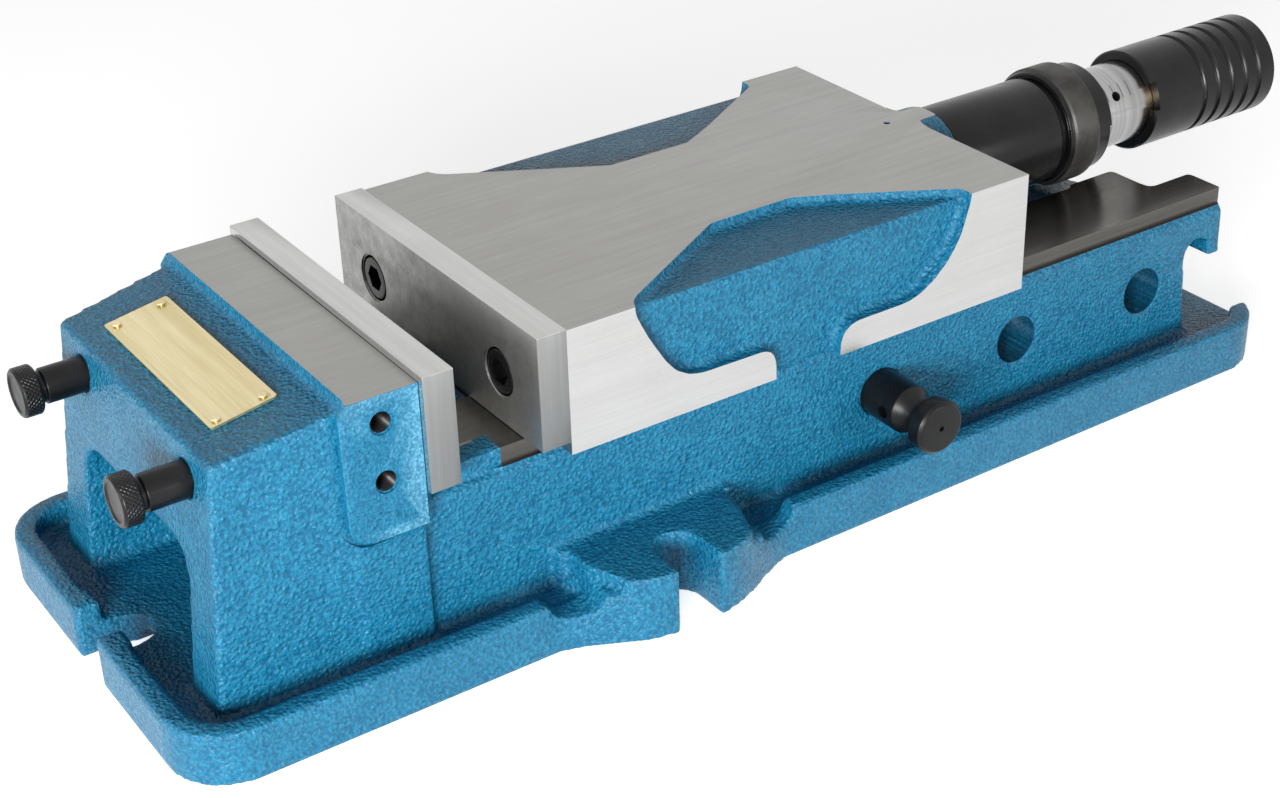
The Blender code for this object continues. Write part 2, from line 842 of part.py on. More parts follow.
def keyway(x_low, x_high):
    return box(
        (x_low, x_high), (-KEYWAY_WIDTH / 2, KEYWAY_WIDTH / 2), (-0.01, KEYWAY_DEPTH),
    )


def slope_at(x):
    """The height of the sloped top at a place along X."""
    share = (x - FACE_TOP_X) / (BLOCK_STEP_X - FACE_TOP_X)
    return SLOPE_FRONT + (SLOPE_TOP - SLOPE_FRONT) * share


def slope_angle():
    return math.atan2(SLOPE_TOP - SLOPE_FRONT, BLOCK_STEP_X - FACE_TOP_X)


def tilted(obj, lift):
    """Lays a piece made at the origin on the sloped top, at the name plate."""
    obj.rotation_euler = (0, -slope_angle(), 0)
    normal = Vector((-math.sin(slope_angle()), 0, math.cos(slope_angle())))
    obj.location = Vector((NAME_PLATE_X, 0, slope_at(NAME_PLATE_X))) + normal * lift
    lay(obj)
    return obj


def rivet_places():
    along = NAME_PLATE_WIDTH / 2 - RIVET_INSET
    out = NAME_PLATE_LENGTH / 2 - RIVET_INSET
    return [(x, y) for x in (-along, along) for y in (-out, out)]


def rivet_holes(radius, depth):
    """Cutters for the plate's four drive rivets."""
    holes = [
        cylinder((x, y, 0), radius, depth * 2, "Z", SMALL_STEPS) for x, y in rivet_places()
    ]
    return tilted(merge(holes), 0)


def pin_holes():
    return [
        cylinder((PIN_X + k * PIN_PITCH, 0, PIN_Z), PIN_R + PIN_CLEARANCE, 0.30, "Y", INNER_STEPS)
        for k in range(PIN_COUNT)
    ]


def plate_screw_bores(face_x, direction):
    """Tapped holes behind a jaw plate; direction is -1 into the fixed jaw, 1 into the slide."""
    depth = PLATE_SCREW_LENGTH + 0.002
    return [
        cylinder(
            (face_x + direction * (depth / 2 - 0.003), sign * PLATE_SCREW_Y, PLATE_SCREW_Z),
            PLATE_SCREW_R + SEAT, depth + 0.006, "X", SMALL_STEPS,
        )
        for sign in (-1, 1)
    ]


def make_body(paint):
    body = base_tray()
    join(body, bed_block(), jaw_block())
    cut(body, arch_hollow(), channel(), slot_between_slideways())
    join(body, saddle())
    cut(body, entry_notch(), lift_notch())
    cut(body, box(
        (FLOOR_WINDOW_START, FLOOR_WINDOW_END), (-CHANNEL_HALF + 0.002, CHANNEL_HALF - 0.002),
        (-0.01, TRAY_FLOOR + 0.002),
    ))
    cut(body, *pin_holes())
    for sign in (-1, 1):
        cut(body, lug_slot(sign))
        for height in STOP_HOLE_Z:
            centre_y = sign * (BLOCK_HALF - STOP_HOLE_DEPTH / 2 + 0.002)
            cut(body, cylinder(
                (STOP_HOLE_X, centre_y, height), STOP_HOLE_R, STOP_HOLE_DEPTH + 0.004, "Y", SMALL_STEPS,
            ))
        middle = (FRONT_PIN_TIP_X + FACE_FOOT_X) / 2
        cut(body, cylinder(
            (middle + 0.0005, sign * FRONT_PIN_Y, FRONT_PIN_Z), FRONT_PIN_R + RUN,
            FRONT_PIN_TIP_X - FACE_FOOT_X + 0.004, "X", SMALL_STEPS,
        ))
    for end in (-1, 1):
        cut(body, end_slot(end))
    front_end = BASE_FRONT + END_SLOT_DEPTH
    rear_end = BASE_REAR - END_SLOT_DEPTH
    cut(body, keyway(front_end, front_end + KEYWAY_LENGTH), keyway(rear_end - KEYWAY_LENGTH, rear_end))
    cut(body, *plate_screw_bores(PAD_REAR, -1))
    cut(body, rivet_holes(RIVET_SHANK_R + SEAT, RIVET_LENGTH))
    return finish(body, "vise_body", paint)


# Jaw plates and fastenings

def make_jaw_plate(name, face_x, direction, steel):
    """A jaw plate whose gripping face is at face_x; it lies towards `direction`."""
    back_x = face_x + direction * PLATE_THICK
    span = sorted((face_x, back_x))
    jaw_plate = box(span, (-JAW_WIDTH / 2, JAW_WIDTH / 2), (PLATE_BOTTOM, PLATE_TOP))
    for sign in (-1, 1):
        centre = (face_x, sign * PLATE_SCREW_Y, PLATE_SCREW_Z)
        cut(
            jaw_plate,
            cylinder(centre, PLATE_SCREW_R + SEAT, 3 * PLATE_THICK, "X", SMALL_STEPS),
            cylinder(centre, COUNTERBORE_R, 2 * COUNTERBORE_DEPTH, "X", INNER_STEPS),
        )
    return finish(jaw_plate, name, steel)


def make_plate_screws(name, face_x, direction, black):
    """Two socket-head screws, heads in the plate's counterbores."""
    seat_x = COUNTERBORE_DEPTH - SEAT
    end_x = PLATE_THICK + SEAT + PLATE_SCREW_LENGTH - SEAT
    profile = [
        (seat_x - SCREW_HEAD_HEIGHT, 0.0),
        (seat_x - SCREW_HEAD_HEIGHT, SCREW_HEAD_R - 0.0006),
        (seat_x - SCREW_HEAD_HEIGHT + 0.0006, SCREW_HEAD_R),
        (seat_x, SCREW_HEAD_R),
        (seat_x, PLATE_SCREW_R),
        (end_x - 0.001, PLATE_SCREW_R),
        (end_x, PLATE_SCREW_R - 0.001),
        (end_x, 0.0),
    ]
    for side, sign in (("near", -1), ("far", 1)):
        screw = turned(profile, SMALL_STEPS, centre=(0, 0, 0))
        screw.rotation_euler = (0, 0, 0 if direction > 0 else math.pi)
        screw.location = (face_x, sign * PLATE_SCREW_Y, PLATE_SCREW_Z)
        lay(screw)
        finish(screw, f"{name}_{side}", black)


def make_name_plate(brass):
    bare = box(
        (-NAME_PLATE_WIDTH / 2, NAME_PLATE_WIDTH / 2),
        (-NAME_PLATE_LENGTH / 2, NAME_PLATE_LENGTH / 2),
        (0, NAME_PLATE_THICK),
    )
    tilted(bare, SEAT)
    cut(bare, rivet_holes(RIVET_SHANK_R + SEAT, RIVET_LENGTH))
    return finish(bare, "name_plate", brass)


def make_rivets(brass):
    for number, (x, y) in enumerate(rivet_places(), 1):
        profile = [
            (-0.0008, 0.0), (-0.0006, RIVET_HEAD_R * 0.6), (0.0, RIVET_HEAD_R), (0.0003, RIVET_HEAD_R),
            (0.0003, RIVET_SHANK_R), (RIVET_LENGTH - 0.001, RIVET_SHANK_R), (RIVET_LENGTH - 0.001, 0.0),
        ]
        rivet = turned(profile, SMALL_STEPS, centre=(0, 0, 0), axis="Z")
        rivet.location = (x, y, 0)
        lay(rivet)
        finish(tilted(rivet, NAME_PLATE_THICK + 3 * SEAT), f"name_plate_rivet_{number}", brass)


# Pins

def make_front_pin(name, sign, black):
    """A plain pin with a knurled head, drawn out to the front."""
    head_end = FRONT_PIN_HEAD_X + FRONT_PIN_HEAD_LENGTH
    neck_end = head_end + FRONT_PIN_NECK
    chamfer = 0.0008
    profile = [
        (FRONT_PIN_HEAD_X, 0.0),
        (FRONT_PIN_HEAD_X, FRONT_PIN_HEAD_R - chamfer),
        (FRONT_PIN_HEAD_X + chamfer, FRONT_PIN_HEAD_R),
        (head_end - chamfer, FRONT_PIN_HEAD_R),
        (head_end, FRONT_PIN_HEAD_R - chamfer),
        (head_end, FRONT_PIN_R - 0.001),
        (neck_end, FRONT_PIN_R - 0.001),
        (neck_end, FRONT_PIN_R),
        (FRONT_PIN_TIP_X - 0.0015, FRONT_PIN_R),
        (FRONT_PIN_TIP_X, FRONT_PIN_R - 0.0015),
        (FRONT_PIN_TIP_X, 0.0),
    ]
    axis_point = (0, sign * FRONT_PIN_Y, FRONT_PIN_Z)
    pin = turned(profile, INNER_STEPS, centre=axis_point)
    return finish(pin, name, black, (FRONT_PIN_HEAD_X, *axis_point[1:]))


def make_position_pin(black):
    """The pin that fixes the nut block in one of the bed's holes."""
    wall = BED_HALF
    shank_out = wall + PIN_SHANK_OUT
    neck_out = shank_out + PIN_NECK_LENGTH
    head_out = neck_out + PIN_HEAD_LENGTH
    profile = [(-head_out, 0.0), (-head_out, PIN_HEAD_R - 0.0012), (-head_out + 0.0012, PIN_HEAD_R)]
    profile += [(-neck_out, PIN_HEAD_R)]
    steps = 4
    for k in range(1, steps + 1):
        share = k / steps
        sag = math.sin(math.pi * (0.15 + 0.85 * share) if share < 1 else 0)
        radius = PIN_R - (PIN_R - PIN_NECK_R) * max(sag, 0)
        profile.append((-neck_out + PIN_NECK_LENGTH * share, radius))
    profile += [
        (PIN_TIP_Y - 0.006, PIN_R), (PIN_TIP_Y - 0.002, PIN_R * 0.8), (PIN_TIP_Y, PIN_R * 0.55),
        (PIN_TIP_Y, 0.0),
    ]
    pin = turned(profile, INNER_STEPS, centre=(PIN_X, 0, PIN_Z), axis="Y")
    hole_y = -shank_out + 0.006
    cut(pin, cylinder((PIN_X, hole_y, PIN_Z), PIN_CROSS_HOLE_R, 0.04, "X", 8))
    return finish(pin, "position_pin", black, (PIN_X, -wall, PIN_Z))


# Movable jaw

def pocket_outline(sign):
    """The plan of the pocket beside the waist, on one side."""
    front, rear = SLIDE_FRONT, SLIDE_REAR
    past = sign * (SLIDE_HALF + 0.02)
    edge = sign * (SLIDE_HALF - POCKET_EDGE)
    waist = front + WAIST_FRONT
    return [
        (front + POCKET_END, past),
        (front + POCKET_END, sign * (SLIDE_HALF - 0.001)),
        (front + POCKET_END + POCKET_FLARE, edge),
        (waist, sign * WAIST_HALF),
        (waist + WAIST_LENGTH, sign * WAIST_HALF),
        (waist + WAIST_LENGTH + WAIST_FLARE_LENGTH, sign * (WAIST_HALF + WAIST_FLARE)),
        (rear - POCKET_END - POCKET_FLARE / 2, edge),
        (rear - POCKET_END, past),
    ]


def side_recess(sign):
    """The cast recess in a side of the slide, between its two machined windows."""
    front, rear = SLIDE_FRONT + RECESS_END, SLIDE_REAR - RECESS_END
    lip, sill = JAW_TOP - RECESS_LIP, JAW_TOP - RECESS_SILL
    gap_front = SLIDE_FRONT + RECESS_GAP_FRONT
    gap_rear = gap_front + RECESS_GAP_LENGTH
    outline = rounded([
        (front, JAW_TOP + 0.02, 0),
        (front + 0.0002, lip, 0.010),
        (SLIDE_FRONT + RECESS_KNEE[0], JAW_TOP - RECESS_KNEE[1], 0.020),
        (SLIDE_FRONT + RECESS_SILL_FRONT, sill, 0.010),
        (gap_front, sill, 0.006),
        (gap_front + 0.0002, SKIRT_BOTTOM - 0.01, 0),
        (gap_rear, SKIRT_BOTTOM - 0.01, 0),
        (gap_rear + 0.0008, sill - 0.0012, 0.009),
        (gap_rear + (rear - gap_rear) * RECESS_REAR_SILL, sill - 0.0012, 0.022),
        (gap_rear + (rear - gap_rear) * RECESS_REAR_KNEE[0], JAW_TOP - RECESS_REAR_KNEE[1], 0.030),
        (rear - 0.0002, lip, 0.020),
        (rear, JAW_TOP + 0.02, 0),
    ], 4)
    ends = sorted((sign * (SLIDE_HALF - RECESS_DEPTH), sign * (SLIDE_HALF + 0.02)))
    return plate(outline, ends[0], ends[1], "Y")


def slide_section():
    """The slide's section: a flat top, and skirts that reach down beside the slideways."""
    inner = RAIL_HALF + RUN
    sole = RAIL_TOP + RUN
    half = [(SLIDE_HALF, JAW_TOP), (SLIDE_HALF, SKIRT_BOTTOM), (inner, SKIRT_BOTTOM), (inner, sole)]
    return [(-u, v) for u, v in half] + list(reversed(half))


def make_movable_jaw(paint):
    front, rear = SLIDE_FRONT, SLIDE_REAR
    tunnel_end = rear - REAR_WALL
    jaw = plate(slide_section(), front, rear, "X")
    tongue = box(
        (TONGUE_START, TONGUE_START + TONGUE_LENGTH), (-NUT_HALF, NUT_HALF), (CHANNEL_TOP, RAIL_TOP + 0.01),
    )
    boss = bore(rear - 0.004, rear + BOSS_LENGTH, BOSS_R)
    join(jaw, tongue, boss)
    for sign in (-1, 1):
        cut(jaw, plate(pocket_outline(sign), JAW_TOP - POCKET_DEPTH, JAW_TOP + 0.01, "Z"))
        cut(jaw, side_recess(sign))
    cut(
        jaw,
        box((TUNNEL_START, tunnel_end), (-TUNNEL_HALF, TUNNEL_HALF), (CHANNEL_TOP - 0.005, TUNNEL_TOP)),
        bore(BEARING_SEAT, TUNNEL_START + 0.002, BEARING_R + RUN),
        bore(BEARING_SEAT - THRUST_PAD_THICK, BEARING_SEAT + 0.002, THRUST_PAD_R + RUN),
        bore(tunnel_end - 0.004, rear + BOSS_LENGTH + 0.01, JOURNAL_R + RUN),
    )
    oil_depth = JAW_TOP - AXIS_Z - JOURNAL_R + 0.003
    cut(jaw, cylinder((rear - OIL_HOLE_INSET, 0, JAW_TOP), OIL_HOLE_R, 2 * oil_depth, "Z", SMALL_STEPS))
    cut(jaw, *plate_screw_bores(front, 1))
    middle = CHANNEL_TOP + HOLD_SCREW_LENGTH / 2 - 0.008
    for x, y in hold_screw_places():
        cut(jaw, cylinder((x, y, middle), HOLD_SCREW_R + SEAT, HOLD_SCREW_LENGTH, "Z", SMALL_STEPS))
    return finish(jaw, "movable_jaw", paint)


def hold_screw_places():
    middle = TONGUE_START + TONGUE_LENGTH / 2
    return [
        (middle + i * HOLD_SCREW_SPREAD_X, j * HOLD_SCREW_SPREAD_Y) for i in (-1, 1) for j in (-1, 1)
    ]


def hold_down_top():
    """The hold-down plate's upper face, just under the slideways."""
    return CHANNEL_TOP - SEAT


def make_hold_down_plate(steel):
    top = hold_down_top()
    strip = box(
        (TONGUE_START, TONGUE_START + TONGUE_LENGTH), (-HOLD_DOWN_HALF, HOLD_DOWN_HALF),
        (top - HOLD_DOWN_THICK, top),
    )
    under = top - HOLD_DOWN_THICK
    for x, y in hold_screw_places():
        cut(strip, cylinder((x, y, top), HOLD_SCREW_R + SEAT, 0.03, "Z", SMALL_STEPS))
        cut(strip, cylinder((x, y, under), HOLD_SCREW_HEAD_R + SEAT, 2 * HOLD_SCREW_HEAD, "Z", SMALL_STEPS))
    return finish(strip, "hold_down_plate", steel)


def make_hold_down_screws(black):
    under = hold_down_top() - HOLD_DOWN_THICK
    end = HOLD_SCREW_LENGTH - 0.009 + HOLD_DOWN_THICK
    for number, (x, y) in enumerate(hold_screw_places(), 1):
        profile = [
            (0.0, 0.0), (0.0, HOLD_SCREW_HEAD_R), (HOLD_SCREW_HEAD - SEAT, HOLD_SCREW_HEAD_R),
            (HOLD_SCREW_HEAD - SEAT, HOLD_SCREW_R), (end, HOLD_SCREW_R), (end, 0.0),
        ]
        screw = turned(profile, SMALL_STEPS, centre=(0, 0, 0), axis="Z")
        screw.rotation_euler = (math.pi, 0, 0)
        screw.location = (x, y, under)
        lay(screw)
        finish(screw, f"hold_down_screw_{number}", black)


# Nut block

def make_nut_block(iron):
    """The thrust block: a foot in the channel, held by the pin, and a nut on the spindle."""
    top = TUNNEL_TOP - NUT_ROOF_GAP
    shoulder = 0.012
    upper = plate(rounded([
        (-NUT_HALF, NUT_FOOT_BOTTOM + 0.01, 0), (NUT_HALF, NUT_FOOT_BOTTOM + 0.01, 0),
        (NUT_HALF, top, shoulder), (-NUT_HALF, top, shoulder),
    ]), NUT_FRONT, NUT_FRONT + NUT_LENGTH, "X")
    foot = box(
        (NUT_FOOT_FRONT, NUT_FOOT_FRONT + NUT_FOOT_LENGTH), (-HOLD_DOWN_HALF, HOLD_DOWN_HALF),
        (NUT_FOOT_BOTTOM, CHANNEL_TOP - SEAT),
    )
    join(upper, foot)
    cut(
        upper,
        bore(NUT_FRONT - 0.01, NUT_FRONT + NUT_LENGTH + 0.01, THREAD_R + RUN),
        cylinder((PIN_X, 0, PIN_Z), PIN_R + PIN_CLEARANCE, 0.2, "Y", INNER_STEPS),
    )
    return finish(upper, "nut_block", iron)


# Spindle and hydraulic cylinder

def make_lead_screw(steel):
    """The hollow feed screw, with its journal and the spigot that enters the cylinder."""
    journal_front = SLIDE_REAR - REAR_WALL - SEAT
    front = TUBE_FRONT
    spigot_r = TUBE_BORE_R - SEAT
    inner = PUSH_ROD_R + RUN
    profile = [
        (SCREW_FRONT, inner), (SCREW_FRONT, THREAD_R - 0.002), (SCREW_FRONT + 0.002, THREAD_R),
        (journal_front, THREAD_R), (journal_front, JOURNAL_R), (front, JOURNAL_R),
        (front, spigot_r), (front + SPIGOT_LENGTH, spigot_r), (front + SPIGOT_LENGTH, inner),
    ]
    return finish(turned(profile, INNER_STEPS), "lead_screw", steel, (SCREW_FRONT, 0, AXIS_Z))


def make_retaining_ring(steel):
    rear = SLIDE_REAR - REAR_WALL - SEAT
    inner = THREAD_R + SEAT
    profile = [
        (rear - RETAINER_THICK, inner), (rear - RETAINER_THICK, RETAINER_R - 0.0005),
        (rear - RETAINER_THICK + 0.0005, RETAINER_R), (rear, RETAINER_R), (rear, inner),
    ]
    return finish(turned(profile, INNER_STEPS), "retaining_ring", steel, (rear, 0, AXIS_Z))


def make_thrust_bearing(steel, brass):
    """Two washers, and between them balls in a cage, seated in the slide."""
    front = BEARING_SEAT + SEAT
    length = SCREW_FRONT - BEARING_SEAT - 2 * SEAT
    washer = (length - 2 * BALL_R - 2 * SEAT) / 2
    for side, low in (("front", front), ("rear", front + length - washer)):
        ring = turned([
            (low, BEARING_BORE), (low, BEARING_R), (low + washer, BEARING_R), (low + washer, BEARING_BORE),
        ], INNER_STEPS)
        finish(ring, f"thrust_washer_{side}", steel)
    middle = front + length / 2
    cage = turned([
        (middle - CAGE_HALF, CAGE_BORE), (middle - CAGE_HALF, CAGE_R),
        (middle + CAGE_HALF, CAGE_R), (middle + CAGE_HALF, CAGE_BORE),
    ], INNER_STEPS)
    pitch_r = (BEARING_BORE + BEARING_R) / 2
    for k in range(BALL_COUNT):
        angle = 2 * math.pi * k / BALL_COUNT
        place = (middle, pitch_r * math.cos(angle), AXIS_Z + pitch_r * math.sin(angle))
        cut(cage, cylinder(place, BALL_R + SEAT, 0.01, "X", 12))
        bpy.ops.mesh.primitive_uv_sphere_add(segments=8, ring_count=6, radius=BALL_R)
        ball = bpy.context.object
        ball.location = place
        lay(ball)
        finish(ball, f"thrust_ball_{k + 1}", steel)
    return finish(cage, "thrust_ball_cage", brass)


def make_thrust_pad(steel):
    rear = BEARING_SEAT
    front = rear - THRUST_PAD_THICK + SEAT
    return finish(
        turned([(front, 0.0), (front, THRUST_PAD_R), (rear, THRUST_PAD_R), (rear, 0.0)], INNER_STEPS),
        "thrust_pad", steel,
    )


def make_push_rod(steel):
    """The rod through the feed screw, from the main piston to the thrust pad."""
    front = BEARING_SEAT + SEAT
    rear = MAIN_PISTON_FRONT - SEAT
    profile = [
        (front, 0.0), (front, PUSH_ROD_R - 0.003), (front + 0.002, PUSH_ROD_R),
        (rear, PUSH_ROD_R), (rear, 0.0),
    ]
    return finish(turned(profile, INNER_STEPS), "push_rod", steel, (front, 0, AXIS_Z))


def make_cylinder_tube(black):
    front = TUBE_FRONT
    rear = front + TUBE_LENGTH
    neck = COLLAR_FRONT - TUBE_NECK
    neck_r = TUBE_R - TUBE_NECK_DEPTH
    neck_end = COLLAR_FRONT + 0.001
    profile = [
        (front, TUBE_BORE_R), (front, TUBE_R - 0.0008), (front + 0.0008, TUBE_R),
        (neck, TUBE_R), (neck + 0.0011, neck_r), (neck_end, neck_r),
        (neck_end, TUBE_R), (rear, TUBE_R), (rear, TUBE_BORE_R),
    ]
    return finish(turned(profile), "cylinder_tube", black, (front, 0, AXIS_Z))


def make_claw_collar(black):
    """The collar on the cylinder, with a claw notch in its rear edge."""
    over_tube = TUBE_R + SEAT
    over_sleeve = SLEEVE_R + SEAT
    step = TUBE_FRONT + TUBE_LENGTH + SEAT
    profile = [
        (COLLAR_FRONT, over_tube), (COLLAR_FRONT, over_tube + 0.0012),
        (COLLAR_FRONT + COLLAR_CHAMFER, COLLAR_R), (COLLAR_REAR - COLLAR_REAR_CHAMFER, COLLAR_R),
        (COLLAR_REAR, COLLAR_R - 0.0015), (COLLAR_REAR, CLAW_R), (CLAW_REAR - 0.0008, CLAW_R),
        (CLAW_REAR, CLAW_R - 0.0008), (CLAW_REAR, over_sleeve), (step, over_sleeve), (step, over_tube),
    ]
    collar = turned(profile)
    ends = (CLAW_REAR - CLAW_NOTCH_DEPTH, CLAW_REAR + 0.005)
    cut(collar, wedge(ends, CLAW_NOTCH_FROM, CLAW_NOTCH_TO))
    return finish(collar, "claw_collar", black, (COLLAR_FRONT, 0, AXIS_Z))


def wedge(ends, start, stop):
    """A cutter for a sector round the spindle's axis, in degrees up from the -Y side."""
    reach = 0.040
    steps = 4
    outline = [(0.0, AXIS_Z)]
    for k in range(steps + 1):
        angle = math.radians(start + (stop - start) * k / steps)
        outline.append((-reach * math.cos(angle), AXIS_Z + reach * math.sin(angle)))
    return plate(outline, ends[0], ends[1], "X")


def make_scale_sleeve(bright):
    front = TUBE_FRONT + TUBE_LENGTH + 2 * SEAT
    profile = [
        (front, SLEEVE_BORE_R), (front, SLEEVE_R), (SLEEVE_REAR - 0.0008, SLEEVE_R),
        (SLEEVE_REAR, SLEEVE_R - 0.0008), (SLEEVE_REAR, SLEEVE_BORE_R),
    ]
    sleeve = turned(profile)
    angle = math.radians(SLEEVE_HOLE_ANGLE)
    drill = cylinder((0, 0, 0), SLEEVE_HOLE_R, 2 * SLEEVE_HOLE_R, "Y", 8)
    drill.rotation_euler = (-angle, 0, 0)
    drill.location = (SLEEVE_HOLE_X, -SLEEVE_R * math.cos(angle), AXIS_Z + SLEEVE_R * math.sin(angle))
    lay(drill)
    cut(sleeve, drill)
    return finish(sleeve, "scale_sleeve", bright, (front, 0, AXIS_Z))


def make_cylinder_head(steel):
    """Closes the cylinder, guides the primary piston and is the pressure screw's nut."""
    in_tube = TUBE_BORE_R - SEAT
    step = TUBE_FRONT + TUBE_LENGTH
    nose_end = HEAD_FRONT + HEAD_NOSE_LENGTH
    profile = [
        (HEAD_FRONT, PRIMARY_R + RUN), (HEAD_FRONT, in_tube), (step, in_tube),
        (step, HEAD_TAIL_R), (HEAD_REAR, HEAD_TAIL_R), (HEAD_REAR, PRESSURE_SCREW_R + RUN),
        (nose_end, PRESSURE_SCREW_R + RUN), (nose_end, PRIMARY_R + RUN),
    ]
    return finish(turned(profile, INNER_STEPS), "cylinder_head", steel, (HEAD_FRONT, 0, AXIS_Z))


def make_main_piston(steel):
    front, rear = MAIN_PISTON_FRONT, MAIN_PISTON_FRONT + MAIN_PISTON_LENGTH
    outer = TUBE_BORE_R - SEAT
    middle = (front + rear) / 2
    low, high = middle - SEAL_WIDTH / 2, middle + SEAL_WIDTH / 2
    groove = outer - SEAL_DEPTH
    profile = [
        (front, 0.0), (front, outer), (low, outer), (low, groove), (high, groove), (high, outer),
        (rear, outer), (rear, 0.0),
    ]
    return finish(turned(profile, INNER_STEPS), "main_piston", steel, (front, 0, AXIS_Z))


def make_main_piston_seal(rubber):
    middle = MAIN_PISTON_FRONT + MAIN_PISTON_LENGTH / 2
    low, high = middle - SEAL_WIDTH / 2 + SEAT, middle + SEAL_WIDTH / 2 - SEAT
    outer = TUBE_BORE_R - SEAT / 2
    inner = TUBE_BORE_R - SEAT - SEAL_DEPTH + SEAT / 2
    profile = [(low, inner), (low, outer), (high, outer), (high, inner)]
    return finish(turned(profile, INNER_STEPS), "main_piston_seal", rubber, (middle, 0, AXIS_Z))


def make_return_spring(steel):
    low = TUBE_FRONT + SPIGOT_LENGTH + SEAT
    length = MAIN_PISTON_FRONT - SEAT - low
    return finish(coil(SPRING_R, SPRING_WIRE_R, length, SPRING_TURNS, low), "return_spring", steel)


# Pressure stage

def make_primary_piston(steel):
    rear = PRESSURE_SCREW_FRONT - SEAT
    profile = [
        (PRIMARY_FRONT, 0.0), (PRIMARY_FRONT, PRIMARY_R - 0.001), (PRIMARY_FRONT + 0.001, PRIMARY_R),
        (rear, PRIMARY_R), (rear, 0.0),
    ]
    return finish(turned(profile, SMALL_STEPS), "primary_piston", steel, (PRIMARY_FRONT, 0, AXIS_Z))


def flange_front():
    """The pressure screw's flange, clear of the sleeve at full stroke."""
    return SLEEVE_REAR + PRESSURE_STROKE + 0.001


def make_pressure_screw(steel):
    flange = flange_front()
    tail = flange + FLANGE_THICK
    profile = [
        (PRESSURE_SCREW_FRONT, 0.0), (PRESSURE_SCREW_FRONT, PRESSURE_SCREW_R - 0.001),
        (PRESSURE_SCREW_FRONT + 0.001, PRESSURE_SCREW_R), (flange, PRESSURE_SCREW_R),
        (flange, SLEEVE_R - 0.001), (tail, SLEEVE_R - 0.001), (tail, PRESSURE_SCREW_R),
        (tail + 0.016, PRESSURE_SCREW_R), (tail + 0.016, 0.0),
    ]
    return finish(turned(profile, INNER_STEPS), "pressure_screw", steel, (flange, 0, AXIS_Z))


def make_clutch_disc(steel):
    low = flange_front() + FLANGE_THICK + SEAT
    high = low + CLUTCH_DISC_THICK
    inner = PRESSURE_SCREW_R + RUN
    outer = SLEEVE_R
    profile = [(low, inner), (low, outer), (high, outer), (high, inner)]
    return finish(turned(profile, INNER_STEPS), "clutch_disc", steel, (low, 0, AXIS_Z))


def make_clutch_spring(steel):
    low = flange_front() + FLANGE_THICK + CLUTCH_DISC_THICK + 2 * SEAT
    length = GRIP_REAR - PLUG_LENGTH - SEAT - low
    return finish(
        coil(CLUTCH_SPRING_R, CLUTCH_WIRE_R, length, CLUTCH_SPRING_TURNS, low), "clutch_spring", steel,
    )


def make_drive_plug(black):
    """The plug in the grip's rear end, with the crank's hexagon socket."""
    front = GRIP_REAR - PLUG_LENGTH
    rear = GRIP_REAR - 0.001
    profile = [
        (front, 0.0), (front, SLEEVE_R), (rear - 0.001, SLEEVE_R), (rear, SLEEVE_R - 0.001), (rear, 0.0),
    ]
    plug = turned(profile, INNER_STEPS)
    cut(plug, bore(rear - HEX_DEPTH, rear + 0.01, HEX_ACROSS_FLATS / math.sqrt(3), 6))
    return finish(plug, "drive_plug", black, (rear, 0, AXIS_Z))


def grip_profile():
    """The grip's outside with its grip grooves, then its bore."""
    inner = SLEEVE_R + RUN
    profile = [(GRIP_FRONT, inner), (GRIP_FRONT, GRIP_R - 0.0008), (GRIP_FRONT + 0.0008, GRIP_R)]
    for k in range(GRIP_GROOVE_COUNT):
        centre = GRIP_GROOVE_FIRST + k * GRIP_GROOVE_PITCH
        profile += [
            (centre - GRIP_GROOVE_HALF, GRIP_R),
            (centre, GRIP_R - GRIP_GROOVE_DEPTH),
            (centre + GRIP_GROOVE_HALF, GRIP_R),
        ]
    profile += [(GRIP_REAR - 0.0012, GRIP_R), (GRIP_REAR, GRIP_R - 0.0012), (GRIP_REAR, inner)]
    return profile


def make_grip(black):
    grip = turned(grip_profile())
    ends = (GRIP_FRONT - 0.005, GRIP_FRONT + GRIP_WINDOW_DEPTH)
    cut(grip, wedge(ends, GRIP_WINDOW_FROM, GRIP_WINDOW_TO))
    return finish(grip, "grip", black, (GRIP_FRONT, 0, AXIS_Z))


